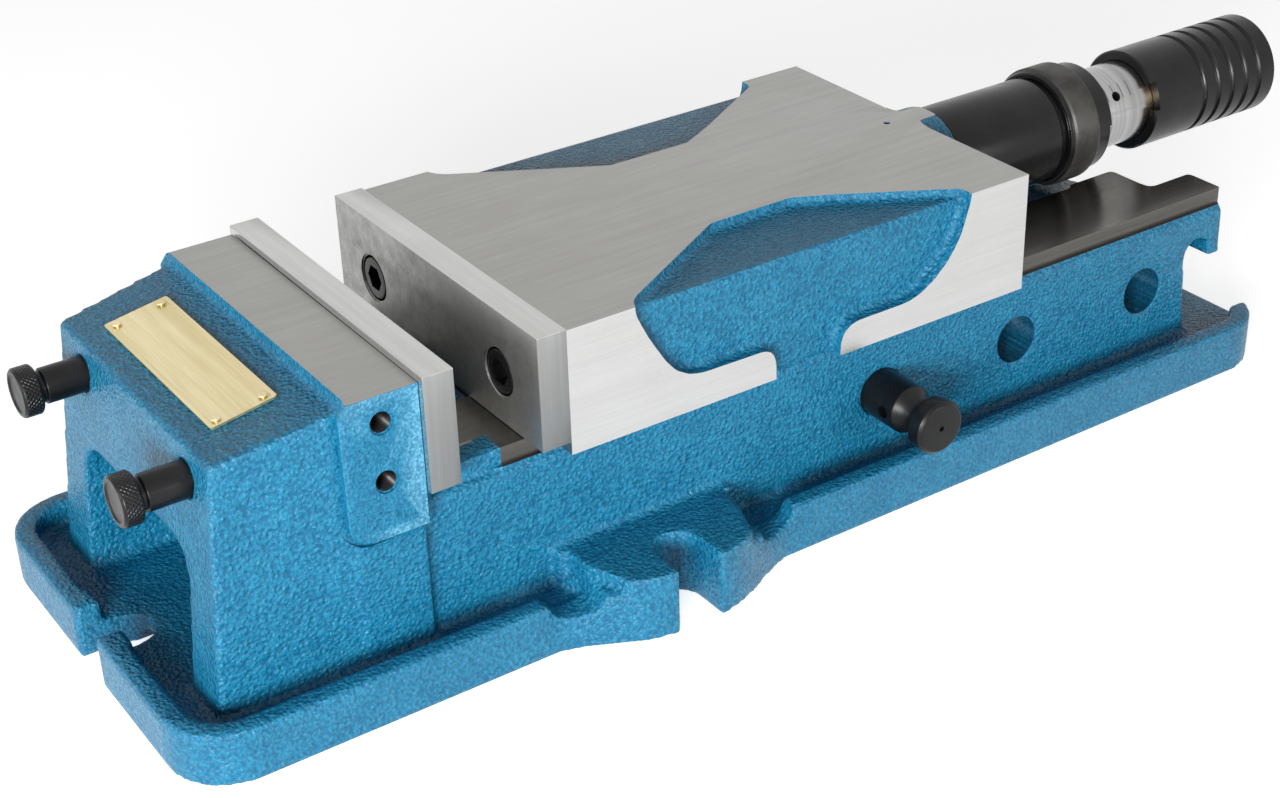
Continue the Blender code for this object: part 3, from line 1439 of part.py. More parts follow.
def main():
    paint = material("blue_paint", BLUE, 0.35, 0.0)
    ground = material("ground_steel", STEEL, 0.30, 1.0)
    hardened = material("hardened_steel", (0.42, 0.42, 0.42), 0.35, 1.0)
    blued = material("blackened_steel", BLACK, 0.35, 0.6)
    brass = material("brass", (0.75, 0.62, 0.32), 0.35, 1.0)
    rubber = material("seal_rubber", (0.03, 0.03, 0.03), 0.7, 0.0)

    make_body(paint)
    make_jaw_plate("fixed_jaw_plate", 0.0, -1, ground)
    make_plate_screws("fixed_plate_screw", 0.0, -1, blued)
    make_name_plate(brass)
    make_rivets(brass)
    make_nut_block(paint)
    make_position_pin(blued)
    make_front_pin("front_pin_near", -1, blued)
    make_front_pin("front_pin_far", 1, blued)

    make_movable_jaw(paint)
    make_jaw_plate("movable_jaw_plate", JAW_OPENING, 1, ground)
    make_plate_screws("movable_plate_screw", JAW_OPENING, 1, blued)
    make_hold_down_plate(hardened)
    make_hold_down_screws(blued)
    make_thrust_pad(hardened)
    make_thrust_bearing(hardened, brass)

    make_lead_screw(hardened)
    make_retaining_ring(hardened)
    make_push_rod(hardened)
    make_cylinder_tube(blued)
    make_claw_collar(blued)
    make_scale_sleeve(ground)
    make_cylinder_head(hardened)
    make_main_piston(hardened)
    make_main_piston_seal(rubber)
    make_return_spring(hardened)

    make_primary_piston(hardened)
    make_pressure_screw(hardened)
    make_clutch_disc(hardened)
    make_clutch_spring(hardened)
    make_drive_plug(blued)
    make_grip(blued)


clear_scene()
PARTS = new_collection("hydraulic_machine_vise")
TOOLS = new_collection("cutters")
main()
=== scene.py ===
"""Looks of a hydraulic machine vise: a blue cast bed with ground slideways, flat jaws and a black spindle."""

from __future__ import annotations

import json
import logging
import math
from contextlib import contextmanager
from dataclasses import dataclass, field
from enum import Enum
from typing import Callable, Iterator, Sequence

import bmesh
import bpy
from mathutils import Matrix, Vector


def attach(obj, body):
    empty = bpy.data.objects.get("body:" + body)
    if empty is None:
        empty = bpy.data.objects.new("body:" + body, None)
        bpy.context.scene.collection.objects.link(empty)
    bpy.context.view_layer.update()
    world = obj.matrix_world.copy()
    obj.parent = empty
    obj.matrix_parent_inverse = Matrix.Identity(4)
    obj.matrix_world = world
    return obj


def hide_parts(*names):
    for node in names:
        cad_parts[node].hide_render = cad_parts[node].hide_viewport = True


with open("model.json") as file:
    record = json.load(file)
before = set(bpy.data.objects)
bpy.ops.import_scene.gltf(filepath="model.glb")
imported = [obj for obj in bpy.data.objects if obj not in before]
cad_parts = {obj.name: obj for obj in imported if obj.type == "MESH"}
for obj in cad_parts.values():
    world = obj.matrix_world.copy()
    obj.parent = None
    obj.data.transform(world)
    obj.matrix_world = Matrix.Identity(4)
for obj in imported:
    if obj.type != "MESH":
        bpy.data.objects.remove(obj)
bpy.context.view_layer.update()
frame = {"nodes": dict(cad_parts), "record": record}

LOG = logging.getLogger("vise")

Point = tuple[float, float, float]
Colour = tuple[float, float, float]
Pair = tuple[float, float]
Profile = list[Pair]

AXIS_Z = 0.1015  # height of the spindle's axis
MERGE = 0.000002  # points nearer than this are one
UNIT: Pair = (0.0, 1.0)  # the range of a mask


class Axis(Enum):
    """A direction that a turned piece is laid along."""

    X = "X"
    Y = "Y"
    Z = "Z"


class Skin(Enum):
    """Which finish a face of a casting has."""

    PAINTED = 0
    MACHINED = 1
    SLIDEWAY = 2
    SMOOTH = 3
    GROUND = 4
    TOOLED = 5
    # Enamel darkened as painted shade inside the pin holes.
    BORE = 6
    # Black oxide as painted shade inside the tapped holes.
    THREAD = 7


class PlateSide(Enum):
    """Which finish a face of a jaw plate has; its back takes a lighter, glossier steel as a painted
    highlight.
    """

    TOP = 0
    GRIPPING = 1
    END = 2
    BACK = 3


# Modelling helpers


def deselect() -> None:
    """Leaves edit mode and deselects every object."""
    if bpy.context.mode != "OBJECT":
        bpy.ops.object.mode_set(mode="OBJECT")
    bpy.ops.object.select_all(action="DESELECT")


def pick(obj: bpy.types.Object) -> None:
    """Makes one object the only selected and active one."""
    deselect()
    obj.select_set(True)
    bpy.context.view_layer.objects.active = obj


def settle(obj: bpy.types.Object) -> bpy.types.Object:
    """Puts the object's place, turn and scale into its mesh.

    Args:
        obj: The object to settle.

    Returns:
        The same object, at the origin.
    """
    pick(obj)
    bpy.ops.object.transform_apply(location=True, rotation=True, scale=True)
    return obj


@contextmanager
def editing(obj: bpy.types.Object, mode: str = "FACE") -> Iterator[bmesh.types.BMesh]:
    """Opens an object's mesh in edit mode with nothing selected.

    Args:
        obj: The object to edit.
        mode: What is selected: VERT, EDGE or FACE.

    Yields:
        The mesh under edit.
    """
    pick(obj)
    bpy.ops.object.mode_set(mode="EDIT")
    bpy.ops.mesh.select_mode(type=mode)
    bpy.ops.mesh.select_all(action="DESELECT")
    yield bmesh.from_edit_mesh(obj.data)
    bpy.ops.object.mode_set(mode="OBJECT")


def choose(mesh: bmesh.types.BMesh, kind: str, test: Callable[[object], bool]) -> None:
    """Selects the faces, edges or vertices that pass a test.

    Args:
        mesh: The mesh under edit.
        kind: The collection's name: faces, edges or verts.
        test: Returns true for what is selected.
    """
    for part in getattr(mesh, kind):
        part.select_set(bool(test(part)))
    mesh.select_flush_mode()


def edge_is(edge: bmesh.types.BMEdge, along: Axis, test: Callable[[Vector], bool]) -> bool:
    """Whether an edge runs along an axis and its middle passes a test."""
    run = edge.verts[1].co - edge.verts[0].co
    parts = [abs(value) for value in run]
    index = "XYZ".index(along.value)
    return parts[index] > 0.98 * run.length and test((edge.verts[0].co + edge.verts[1].co) / 2)


def block(name: str, low: Point, high: Point) -> bpy.types.Object:
    """A box between two corners.

    Args:
        name: The object's name.
        low: Its lowest corner.
        high: Its highest corner.

    Returns:
        The box.
    """
    deselect()
    middle = [(a + b) / 2 for a, b in zip(low, high)]
    bpy.ops.mesh.primitive_cube_add(size=1, location=middle)
    obj = bpy.context.object
    obj.name = name
    obj.scale = [b - a for a, b in zip(low, high)]
    return settle(obj)


def rod(
    name: str, centre: Point, radius: float, length: float, axis: Axis, sides: int = 48
) -> bpy.types.Object:
    """A cylinder about its centre, laid along an axis.

    Args:
        name: The object's name.
        centre: Its middle.
        radius: Its radius.
        length: Its length.
        axis: The direction it is laid along.
        sides: How many sides it has.

    Returns:
        The cylinder.
    """
    turn = {Axis.X: (0, math.pi / 2, 0), Axis.Y: (math.pi / 2, 0, 0), Axis.Z: (0, 0, 0)}[axis]
    deselect()
    bpy.ops.mesh.primitive_cylinder_add(
        vertices=sides, radius=radius, depth=length, location=centre, rotation=turn
    )
    obj = bpy.context.object
    obj.name = name
    return settle(obj)


def slab(name: str, outline: Sequence[Pair], low: float, high: float, axis: Axis) -> bpy.types.Object:
    """A flat outline extruded along an axis.

    Args:
        name: The object's name.
        outline: Points in (x, y) for Z, (x, z) for Y and (y, z) for X.
        low: Where the extrusion starts.
        high: Where it ends.
        axis: The direction of the extrusion.

    Returns:
        The slab.
    """
    place = {
        Axis.X: lambda u, v: (low, u, v),
        Axis.Y: lambda u, v: (u, low, v),
        Axis.Z: lambda u, v: (u, v, low),
    }[axis]
    mesh = bpy.data.meshes.new(name)
    mesh.from_pydata([place(u, v) for u, v in outline], [], [list(range(len(outline)))])
    obj = bpy.data.objects.new(name, mesh)
    bpy.context.scene.collection.objects.link(obj)
    push = [high - low if axis.value == letter else 0.0 for letter in "XYZ"]
    with editing(obj):
        bpy.ops.mesh.select_all(action="SELECT")
        bpy.ops.mesh.extrude_region_move(TRANSFORM_OT_translate={"value": push})
        bpy.ops.mesh.select_all(action="SELECT")
        bpy.ops.mesh.normals_make_consistent(inside=False)
    return obj


def softened(profile: Profile, radius: float, segments: int = 3) -> Profile:
    """Rounds the corners of a turned profile.

    Args:
        profile: Points of (place along the axis, radius).
        radius: The largest rounding; short runs get less.
        segments: How many steps a corner gets.

    Returns:
        The rounded profile.
    """
    out: Profile = [profile[0]]
    for before, here, after in zip(profile, profile[1:], profile[2:]):
        a, b, c = Vector(before), Vector(here), Vector(after)
        reach = min(radius, 0.45 * (b - a).length, 0.45 * (c - b).length)
        start = b + (a - b).normalized() * reach
        end = b + (c - b).normalized() * reach
        for step in range(segments + 1):
            t = step / segments
            spot = start.lerp(b, t).lerp(b.lerp(end, t), t)
            out.append((spot.x, spot.y))
    out.append(profile[-1])
    return out


def turned(
    name: str, profile: Profile, axis: Axis = Axis.X, centre: Point = (0.0, 0.0, AXIS_Z), steps: int = 96
) -> bpy.types.Object:
    """Spins a profile into a turned piece.

    Args:
        name: The object's name.
        profile: Points of (place along the axis, radius). A profile that leaves the axis closes on itself.
        axis: The turning axis.
        centre: A point on the axis.
        steps: Steps round the axis.

    Returns:
        The turned piece.
    """
    index = "XYZ".index(axis.value)
    out_index = 2 if axis is not Axis.Z else 0

    def at(along: float, radius: float) -> Vector:
        """The profile's point in space."""
        point = Vector(centre)
        point[index] = along
        point[out_index] += radius
        return point

    points = [at(*pair) for pair in profile]
    mesh = bpy.data.meshes.new(name)
    mesh.from_pydata([points[0]], [], [])
    obj = bpy.data.objects.new(name, mesh)
    bpy.context.scene.collection.objects.link(obj)
    direction = [1.0 if k == index else 0.0 for k in range(3)]
    with editing(obj, "VERT") as work:
        choose(work, "verts", lambda vert: True)
        for last, following in zip(points, points[1:]):
            bpy.ops.mesh.extrude_region_move(TRANSFORM_OT_translate={"value": following - last})
        if profile[0][1] > 0 and profile[-1][1] > 0:
            work = bmesh.from_edit_mesh(obj.data)
            ends = (points[0], points[-1])
            choose(work, "verts", lambda vert: any((vert.co - end).length < 1e-7 for end in ends))
            bpy.ops.mesh.edge_face_add()
        bpy.ops.mesh.select_all(action="SELECT")
        bpy.ops.mesh.spin(steps=steps, angle=2 * math.pi, center=centre, axis=direction)
        bpy.ops.mesh.select_all(action="SELECT")
        bpy.ops.mesh.remove_doubles(threshold=MERGE)
        bpy.ops.mesh.normals_make_consistent(inside=False)
    return obj


def apply_step(obj: bpy.types.Object, kind: str, **values: object) -> None:
    """Adds a modifier with the given settings and applies it.

    Args:
        obj: The piece.
        kind: The modifier's type.
        **values: Its settings.
    """
    step = obj.modifiers.new(kind.lower(), kind)
    for key, value in values.items():
        setattr(step, key, value)
    pick(obj)
    bpy.ops.object.modifier_apply(modifier=step.name)


def dress(obj: bpy.types.Object, *materials: bpy.types.Material) -> None:
    """Puts finishes in a piece's material slots, in order."""
    obj.data.materials.clear()
    for material in materials:
        obj.data.materials.append(material)


def match_skin(part: bpy.types.Object, casting: bpy.types.Object, skin: Skin) -> None:
    """Gives a cutter or an added solid its casting's slots, and one finish all over."""
    dress(part, *casting.data.materials)
    for polygon in part.data.polygons:
        polygon.material_index = skin.value


def carve(
    obj: bpy.types.Object,
    cutters: Sequence[bpy.types.Object],
    skin: Skin | None = None,
    solver: str = "EXACT",
) -> None:
    """Cuts solids from a piece and applies the cuts.

    Args:
        obj: The piece.
        cutters: What is cut away; they are removed afterwards.
        skin: The finish of the cut faces, on a piece that has more than one.
        solver: The Boolean solver.
    """
    for cutter in cutters:
        if skin is not None:
            match_skin(cutter, obj, skin)
        apply_step(obj, "BOOLEAN", operation="DIFFERENCE", solver=solver, object=cutter)
        bpy.data.objects.remove(cutter, do_unlink=True)


def weld(obj: bpy.types.Object, pieces: Sequence[bpy.types.Object], skin: Skin) -> None:
    """Adds solids to a casting and applies the union.

    Args:
        obj: The casting.
        pieces: What is added; they are removed afterwards.
        skin: The finish of the added faces.
    """
    for piece in pieces:
        match_skin(piece, obj, skin)
        apply_step(obj, "BOOLEAN", operation="UNION", solver="MANIFOLD", object=piece)
        bpy.data.objects.remove(piece, do_unlink=True)


def add_up(name: str, pieces: Sequence[bpy.types.Object]) -> bpy.types.Object:
    """Joins several meshes into one object.

    Args:
        name: The joined object's name.
        pieces: What is joined.

    Returns:
        The joined object.
    """
    deselect()
    for piece in pieces:
        piece.select_set(True)
    bpy.context.view_layer.objects.active = pieces[0]
    bpy.ops.object.join()
    obj = bpy.context.object
    obj.name = name
    return obj


def smooth_by_angle(obj: bpy.types.Object, degrees: float = 32.0) -> None:
    """Shades a piece smooth up to an angle between faces."""
    pick(obj)
    bpy.ops.object.shade_smooth_by_angle(angle=math.radians(degrees))


def node_copy(node: str, name: str) -> bpy.types.Object:
    """A merged copy of a solid of the frame, to be dressed.

    Args:
        node: The solid's node.
        name: The copy's name.

    Returns:
        The copy.
    """
    obj = bpy.data.objects.new(name, frame["nodes"][node].data.copy())
    bpy.context.scene.collection.objects.link(obj)
    with editing(obj, "VERT"):
        bpy.ops.mesh.select_all(action="SELECT")
        bpy.ops.mesh.remove_doubles(threshold=MERGE)
    return obj


def place(
    piece: bpy.types.Object, body: str, slot: str, material: bpy.types.Material | None, nodes: Sequence[str]
) -> None:
    """Gives a piece its finish and ties it to the frame.

    Args:
        piece: The finished piece.
        body: The body that it rides on.
        slot: The record's material slot; not used.
        material: Its finish, or None where the piece already has its own.
        nodes: The frame's solids that it stands for.
    """
    if material is not None:
        dress(piece, material)
    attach(piece, body)
    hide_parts(*nodes)
    LOG.info("%s: %d faces on %s", piece.name, len(piece.data.polygons), body)


# Node helpers


class Graph:
    """A small builder for a node tree."""

    def __init__(self, tree: bpy.types.NodeTree) -> None:
        """Starts from an empty tree."""
        self.tree = tree
        tree.nodes.clear()

    def node(self, kind: str, **inputs: object) -> bpy.types.Node:
        """Adds a node and sets or links its inputs.

        Args:
            kind: The node's type name.
            **inputs: Input name, with spaces as underscores, to a value or a socket.

        Returns:
            The node.
        """
        made = self.tree.nodes.new(kind)
        for key, value in inputs.items():
            self.feed(made, key.replace("_", " "), value)
        return made

    def feed(self, node: bpy.types.Node, key: str | int, value: object) -> None:
        """Sets an input, or links it when the value is a socket."""
        socket = node.inputs[key]
        if isinstance(value, bpy.types.NodeSocket):
            self.tree.links.new(value, socket)
        else:
            socket.default_value = value

    def math(self, operation: str, *values: object) -> bpy.types.NodeSocket:
        """A Math node's result.

        Args:
            operation: The operation.
            *values: Its numbers or sockets.

        Returns:
            The result's socket.
        """
        made = self.tree.nodes.new("ShaderNodeMath")
        made.operation = operation
        for index, value in enumerate(values):
            self.feed(made, index, value)
        return made.outputs[0]

    def noise(self, vector: object, scale: object, detail: float, rough: float = 0.5) -> bpy.types.NodeSocket:
        """A noise texture's value at a place."""
        made = self.node("ShaderNodeTexNoise", Vector=vector, Scale=scale, Detail=detail, Roughness=rough)
        return made.outputs[0]

    def shades(self, value: object, dark: Colour, light: Colour) -> bpy.types.NodeSocket:
        """A colour between two, as a value goes from 0 to 1."""
        made = self.node("ShaderNodeValToRGB", Fac=value)
        for element, colour in zip(made.color_ramp.elements, (dark, light)):
            element.color = (*colour, 1.0)
        return made.outputs[0]

    def remap(self, value: object, given: Pair, wanted: Pair) -> bpy.types.NodeSocket:
        """A value mapped from one range to another, clamped."""
        made = self.tree.nodes.new("ShaderNodeMapRange")
        for index, number in enumerate((value, *given, *wanted)):
            self.feed(made, index, number)
        return made.outputs[0]

    def mix(self, share: object, under: object, over: object) -> bpy.types.NodeSocket:
        """Lays one colour over another by a mask."""
        made = self.node("ShaderNodeMix")
        made.data_type = "RGBA"
        for index, value in ((0, share), (6, under), (7, over)):
            self.feed(made, index, value)
        return made.outputs[2]

    def split(self, vector: object) -> Sequence[bpy.types.NodeSocket]:
        """A vector's three numbers."""
        return self.node("ShaderNodeSeparateXYZ", Vector=vector).outputs


def new_group(
    name: str, inputs: dict[str, float], outputs: Sequence[str]
) -> tuple[bpy.types.NodeTree, Graph]:
    """Starts a shared effect, whose first input is a vector.

    Args:
        name: The group's name.
        inputs: The names and defaults of its other inputs.
        outputs: Names of the values that it puts out.

    Returns:
        The group and a builder for it.
    """
    tree = bpy.data.node_groups.new(name, "ShaderNodeTree")
    tree.interface.new_socket("Vector", in_out="INPUT", socket_type="NodeSocketVector")
    for key, default in inputs.items():
        socket = tree.interface.new_socket(key, in_out="INPUT", socket_type="NodeSocketFloat")
        socket.default_value = default
    for key in outputs:
        tree.interface.new_socket(key, in_out="OUTPUT", socket_type="NodeSocketFloat")
    return tree, Graph(tree)


def cast_skin_group() -> bpy.types.NodeTree:
    """The pebbled skin of thick paint on a sand casting.

    Returns:
        A group that puts out a height and a tint from 0 to 1.
    """
    tree, graph = new_group("cast_skin", {"Grain": 300.0}, ("Height", "Tint"))
    vector, grain = graph.node("NodeGroupInput").outputs[:2]
    fine = graph.noise(vector, grain, 3.0, 0.55)
    wide = graph.noise(vector, graph.math("MULTIPLY", grain, 0.12), 2.0)
    pebble = graph.node("ShaderNodeTexVoronoi", Vector=vector)
    pebble.feature = "SMOOTH_F1"
    graph.feed(pebble, "Smoothness", 0.5)
    graph.feed(pebble, "Scale", graph.math("MULTIPLY", grain, 0.9))
    lumps = graph.math("SUBTRACT", 1.0, pebble.outputs["Distance"])
    height = graph.math("ADD", graph.math("MULTIPLY", fine, 1.1), graph.math("MULTIPLY", lumps, 0.8))
    height = graph.math("ADD", height, graph.math("MULTIPLY", wide, 0.5))
    tint = graph.math("ADD", fine, graph.math("MULTIPLY", lumps, 0.35))
    tint = graph.math("ADD", tint, graph.math("MULTIPLY", wide, 0.25))
    tint = graph.remap(tint, (0.65, 1.05), UNIT)
    graph.node("NodeGroupOutput", Height=height, Tint=tint)
    return tree


def tool_marks_group() -> bpy.types.NodeTree:
    """Fine straight marks that a grinding or turning tool leaves.

    Returns:
        A group that puts out a height and a streak mask; the vector is already stretched.
    """
    tree, graph = new_group("tool_marks", {"Pitch": 1.0}, ("Height", "Streak"))
    vector, pitch = graph.node("NodeGroupInput").outputs[:2]
    fine = graph.noise(vector, pitch, 4.0, 0.65)
    wide = graph.noise(vector, graph.math("MULTIPLY", pitch, 0.2), 2.0)
    streak = graph.remap(graph.math("ADD", fine, wide), (0.75, 1.25), UNIT)
    graph.node("NodeGroupOutput", Height=fine, Streak=streak)
    return tree


def blotch_group() -> bpy.types.NodeTree:
    """Faint handling marks and oil, for metal and black oxide.

    Returns:
        A group that puts out a mask from 0 to 1.
    """
    tree, graph = new_group("blotches", {"Scale": 40.0}, ("Mask",))
    vector, scale = graph.node("NodeGroupInput").outputs[:2]
    graph.node("NodeGroupOutput", Mask=graph.remap(graph.noise(vector, scale, 5.0, 0.6), (0.42, 0.62), UNIT))
    return tree


def knurl_group() -> bpy.types.NodeTree:
    """A diamond knurl round an axis.

    Returns:
        A group whose vector is centred on the axis, with the axis along X, and that puts out a height.
    """
    tree, graph = new_group("knurl", {"Teeth": 60.0, "Lead": 5200.0}, ("Height",))
    vector, teeth, lead = graph.node("NodeGroupInput").outputs[:3]
    x, y, z = graph.split(vector)
    angle = graph.math("MULTIPLY", graph.math("ARCTAN2", y, z), teeth)
    along = graph.math("MULTIPLY", x, lead)
    left = graph.math("SINE", graph.math("ADD", angle, along))
    right = graph.math("SINE", graph.math("SUBTRACT", angle, along))
    graph.node("NodeGroupOutput", Height=graph.math("MAXIMUM", left, right))
    return tree


@dataclass(frozen=True)
class Shared:
    """The shared effects."""

    skin: bpy.types.NodeTree
    marks: bpy.types.NodeTree
    blotches: bpy.types.NodeTree
    knurl: bpy.types.NodeTree


def start_material(name: str) -> tuple[bpy.types.Material, Graph, bpy.types.Node, bpy.types.NodeSocket]:
    """Starts a material with its shader and its object coordinates.

    Args:
        name: The material's name.

    Returns:
        The material, its builder, its shader and the coordinates' socket.
    """
    material = bpy.data.materials.new(name)
    material.use_nodes = True
    graph = Graph(material.node_tree)
    shader = graph.node("ShaderNodeBsdfPrincipled")
    out = graph.node("ShaderNodeOutputMaterial")
    material.node_tree.links.new(shader.outputs[0], out.inputs[0])
    where = graph.node("ShaderNodeTexCoord").outputs["Object"]
    return material, graph, shader, where


def use_group(graph: Graph, tree: bpy.types.NodeTree, **inputs: object) -> bpy.types.Node:
    """Places a shared effect in a material."""
    made = graph.tree.nodes.new("ShaderNodeGroup")
    made.node_tree = tree
    for key, value in inputs.items():
        graph.feed(made, key, value)
    return made


def stretched(
    graph: Graph, where: bpy.types.NodeSocket, scale: Point, centre: Point = (0.0, 0.0, 0.0)
) -> bpy.types.NodeSocket:
    """Coordinates centred on a point and stretched along the axes."""
    made = graph.node("ShaderNodeMapping", Vector=where)
    made.inputs["Location"].default_value = [-a * b for a, b in zip(centre, scale)]
    made.inputs["Scale"].default_value = scale
    return made.outputs[0]


def bump(graph: Graph, shader: bpy.types.Node, height: object, strength: float, distance: float) -> None:
    """Feeds a height to the shader's normal."""
    made = graph.node("ShaderNodeBump", Strength=strength, Distance=distance, Height=height)
    graph.feed(shader, "Normal", made.outputs[0])


@dataclass(frozen=True)
class PaintedIron:
    """Thick blue enamel on a sand casting, pale on its convex edges as worn paint and as a painted highlight.
    """

    name: str = "blue_enamel"
    deep: Colour = (0.003, 0.115, 0.232)
    light: Colour = (0.018, 0.240, 0.405)
    # The pale edge colour stands for worn paint and for a painted highlight.
    worn_and_highlight: Colour = (0.150, 0.420, 0.600)
    edge: Pair = (0.53, 0.62)
    grain: float = 660.0
    relief: float = 0.0008

    def make(self, shared: Shared) -> bpy.types.Material:
        """Builds the material."""
        material, graph, shader, where = start_material(self.name)
        skin = use_group(graph, shared.skin, Vector=where, Grain=self.grain)
        tint = skin.outputs["Tint"]
        coat = graph.shades(tint, self.deep, self.light)
        # Pointiness lightens the convex edges: partly worn paint, partly a painted highlight in place of the
        # lamps' glints on rounded edges.
        rise = graph.node("ShaderNodeNewGeometry").outputs["Pointiness"]
        edge_wear_and_highlight = graph.remap(rise, self.edge, (0.0, 0.8))
        edge_wear_and_highlight = graph.math("MULTIPLY", edge_wear_and_highlight, graph.remap(tint, (0.25, 0.75), (0.35, 1.0)))
        graph.feed(shader, "Base Color", graph.mix(edge_wear_and_highlight, coat, (*self.worn_and_highlight, 1.0)))
        graph.feed(shader, "Roughness", graph.remap(tint, UNIT, (0.32, 0.18)))
        shader.inputs["Specular IOR Level"].default_value = 0.30
        bump(graph, shader, skin.outputs["Height"], 1.0, self.relief)
        return material


@dataclass(frozen=True)
class GroundMetal:
    """Bare metal with the fine marks of a grinding wheel or a turning tool."""

    name: str
    dark: Colour
    light: Colour
    rough: Pair
    stretch: Point
    pitch: float = 1.0
    relief: float = 0.00001

    def make(self, shared: Shared) -> bpy.types.Material:
        """Builds the material."""
        material, graph, shader, where = start_material(self.name)
        marks = use_group(graph, shared.marks, Vector=stretched(graph, where, self.stretch), Pitch=self.pitch)
        spots = use_group(graph, shared.blotches, Vector=where, Scale=24.0)
        streak = graph.math("MULTIPLY", marks.outputs["Streak"], 0.75)
        tone = graph.math("ADD", streak, graph.math("MULTIPLY", spots.outputs[0], 0.25))
        graph.feed(shader, "Base Color", graph.shades(tone, self.dark, self.light))
        graph.feed(shader, "Roughness", graph.remap(tone, UNIT, self.rough))
        shader.inputs["Metallic"].default_value = 1.0
        bump(graph, shader, marks.outputs["Height"], 0.5, self.relief)
        return material


@dataclass(frozen=True)
class BlackOxide:
    """Oiled black oxide on turned steel, with a knurl between two places where it has one."""

    name: str
    centre: Point = (0.0, 0.0, AXIS_Z)
    along: Axis = Axis.X
    knurled: Pair | None = None
    rough: float = 0.25
    dark: Colour = (0.005, 0.005, 0.0054)
    light: Colour = (0.011, 0.011, 0.0122)
    metallic: float = 0.25
    turning: float = 4000.0
    relief: float = 0.00006
    knurl_relief: float = 9.0

    def make(self, shared: Shared) -> bpy.types.Material:
        """Builds the material."""
        material, graph, shader, where = start_material(self.name)
        spots = use_group(graph, shared.blotches, Vector=where, Scale=60.0)
        graph.feed(shader, "Base Color", graph.shades(spots.outputs[0], self.dark, self.light))
        rough = graph.remap(spots.outputs[0], UNIT, (self.rough + 0.05, self.rough - 0.04))
        graph.feed(shader, "Roughness", rough)
        shader.inputs["Metallic"].default_value = self.metallic
        shader.inputs["Specular IOR Level"].default_value = 0.32
        stretch = [self.turning if letter == self.along.value else 12.0 for letter in "XYZ"]
        marks = use_group(graph, shared.marks, Vector=stretched(graph, where, stretch), Pitch=0.35)
        height = marks.outputs["Height"]
        if self.knurled is not None:
            height = graph.math("ADD", self.knurl(graph, shared, where), height)
        bump(graph, shader, height, 0.5, self.relief)
        return material

    def knurl(self, graph: Graph, shared: Shared, where: bpy.types.NodeSocket) -> bpy.types.NodeSocket:
        """The height of the knurl, flat outside its two ends."""
        centred = stretched(graph, where, (1.0, 1.0, 1.0), self.centre)
        diamonds = use_group(graph, shared.knurl, Vector=centred, Teeth=34.0, Lead=3200.0)
        x = graph.split(where)[0]
        start, end = self.knurled
        inside = graph.math("MULTIPLY", graph.math("GREATER_THAN", x, start), graph.math("LESS_THAN", x, end))
        return graph.math("MULTIPLY", diamonds.outputs[0], graph.math("MULTIPLY", inside, self.knurl_relief))


@dataclass(frozen=True)
class BrassSheet:
    """Satin brass with a faint grain along its length."""

    name: str = "satin_brass"
    dark: Colour = (0.66, 0.56, 0.31)
    light: Colour = (0.80, 0.70, 0.44)

    def make(self, shared: Shared) -> bpy.types.Material:
        """Builds the material."""
        material, graph, shader, where = start_material(self.name)
        grain = stretched(graph, where, (900.0, 30.0, 900.0))
        marks = use_group(graph, shared.marks, Vector=grain, Pitch=1.0)
        streak = marks.outputs["Streak"]
        graph.feed(shader, "Base Color", graph.shades(streak, self.dark, self.light))
        graph.feed(shader, "Roughness", graph.remap(streak, UNIT, (0.42, 0.30)))
        shader.inputs["Metallic"].default_value = 1.0
        bump(graph, shader, marks.outputs["Height"], 0.4, 0.00002)
        return material


@dataclass(frozen=True)
class ScaledSteel:
    """Bright turned steel with short scale lines, which yellows towards the grip."""

    name: str = "bright_sleeve"
    dark: Colour = (0.27, 0.27, 0.27)
    light: Colour = (0.47, 0.47, 0.465)
    heat: Colour = (0.55, 0.34, 0.13)
    ink: Colour = (0.05, 0.05, 0.05)
    heat_along: Pair = (0.4095, 0.4150)
    heat_across: Pair = (-0.010, -0.016)
    first_line: float = 0.3889
    line_pitch: float = 0.0048
    line_half: float = 0.00022
    lines_end: float = 0.4060
    line_height: Pair = (0.0105, 0.0160)

    def line_mask(self, graph: Graph, split: Sequence[bpy.types.NodeSocket]) -> bpy.types.NodeSocket:
        """The short scale lines on the upper near side of the sleeve."""
        x, y, z = split
        start = self.first_line - self.line_pitch / 2
        low, high = self.line_height
        along = graph.math("SUBTRACT", x, start)
        beside = graph.math("SUBTRACT", graph.math("MODULO", along, self.line_pitch), self.line_pitch / 2)
        mask = graph.math("LESS_THAN", graph.math("ABSOLUTE", beside), self.line_half)
        height = graph.math("SUBTRACT", z, AXIS_Z)
        for test, value, limit in (
            ("GREATER_THAN", x, start),
            ("LESS_THAN", x, self.lines_end),
            ("GREATER_THAN", height, low),
            ("LESS_THAN", height, high),
            ("LESS_THAN", y, 0.0),
        ):
            mask = graph.math("MULTIPLY", mask, graph.math(test, value, limit))
        return mask

    def make(self, shared: Shared) -> bpy.types.Material:
        """Builds the material."""
        material, graph, shader, where = start_material(self.name)
        turning = stretched(graph, where, (5000.0, 20.0, 20.0))
        marks = use_group(graph, shared.marks, Vector=turning, Pitch=0.4)
        bright = graph.shades(marks.outputs["Streak"], self.dark, self.light)
        split = graph.split(where)
        heat = graph.math(
            "MULTIPLY",
            graph.remap(split[0], self.heat_along, (0.0, 0.6)),
            graph.remap(split[1], self.heat_across, UNIT),
        )
        tinted = graph.mix(heat, bright, (*self.heat, 1.0))
        graph.feed(shader, "Base Color", graph.mix(self.line_mask(graph, split), tinted, (*self.ink, 1.0)))
        graph.feed(shader, "Roughness", graph.remap(marks.outputs["Streak"], UNIT, (0.26, 0.14)))
        shader.inputs["Metallic"].default_value = 1.0
        bump(graph, shader, marks.outputs["Height"], 0.5, 0.00004)
        return material


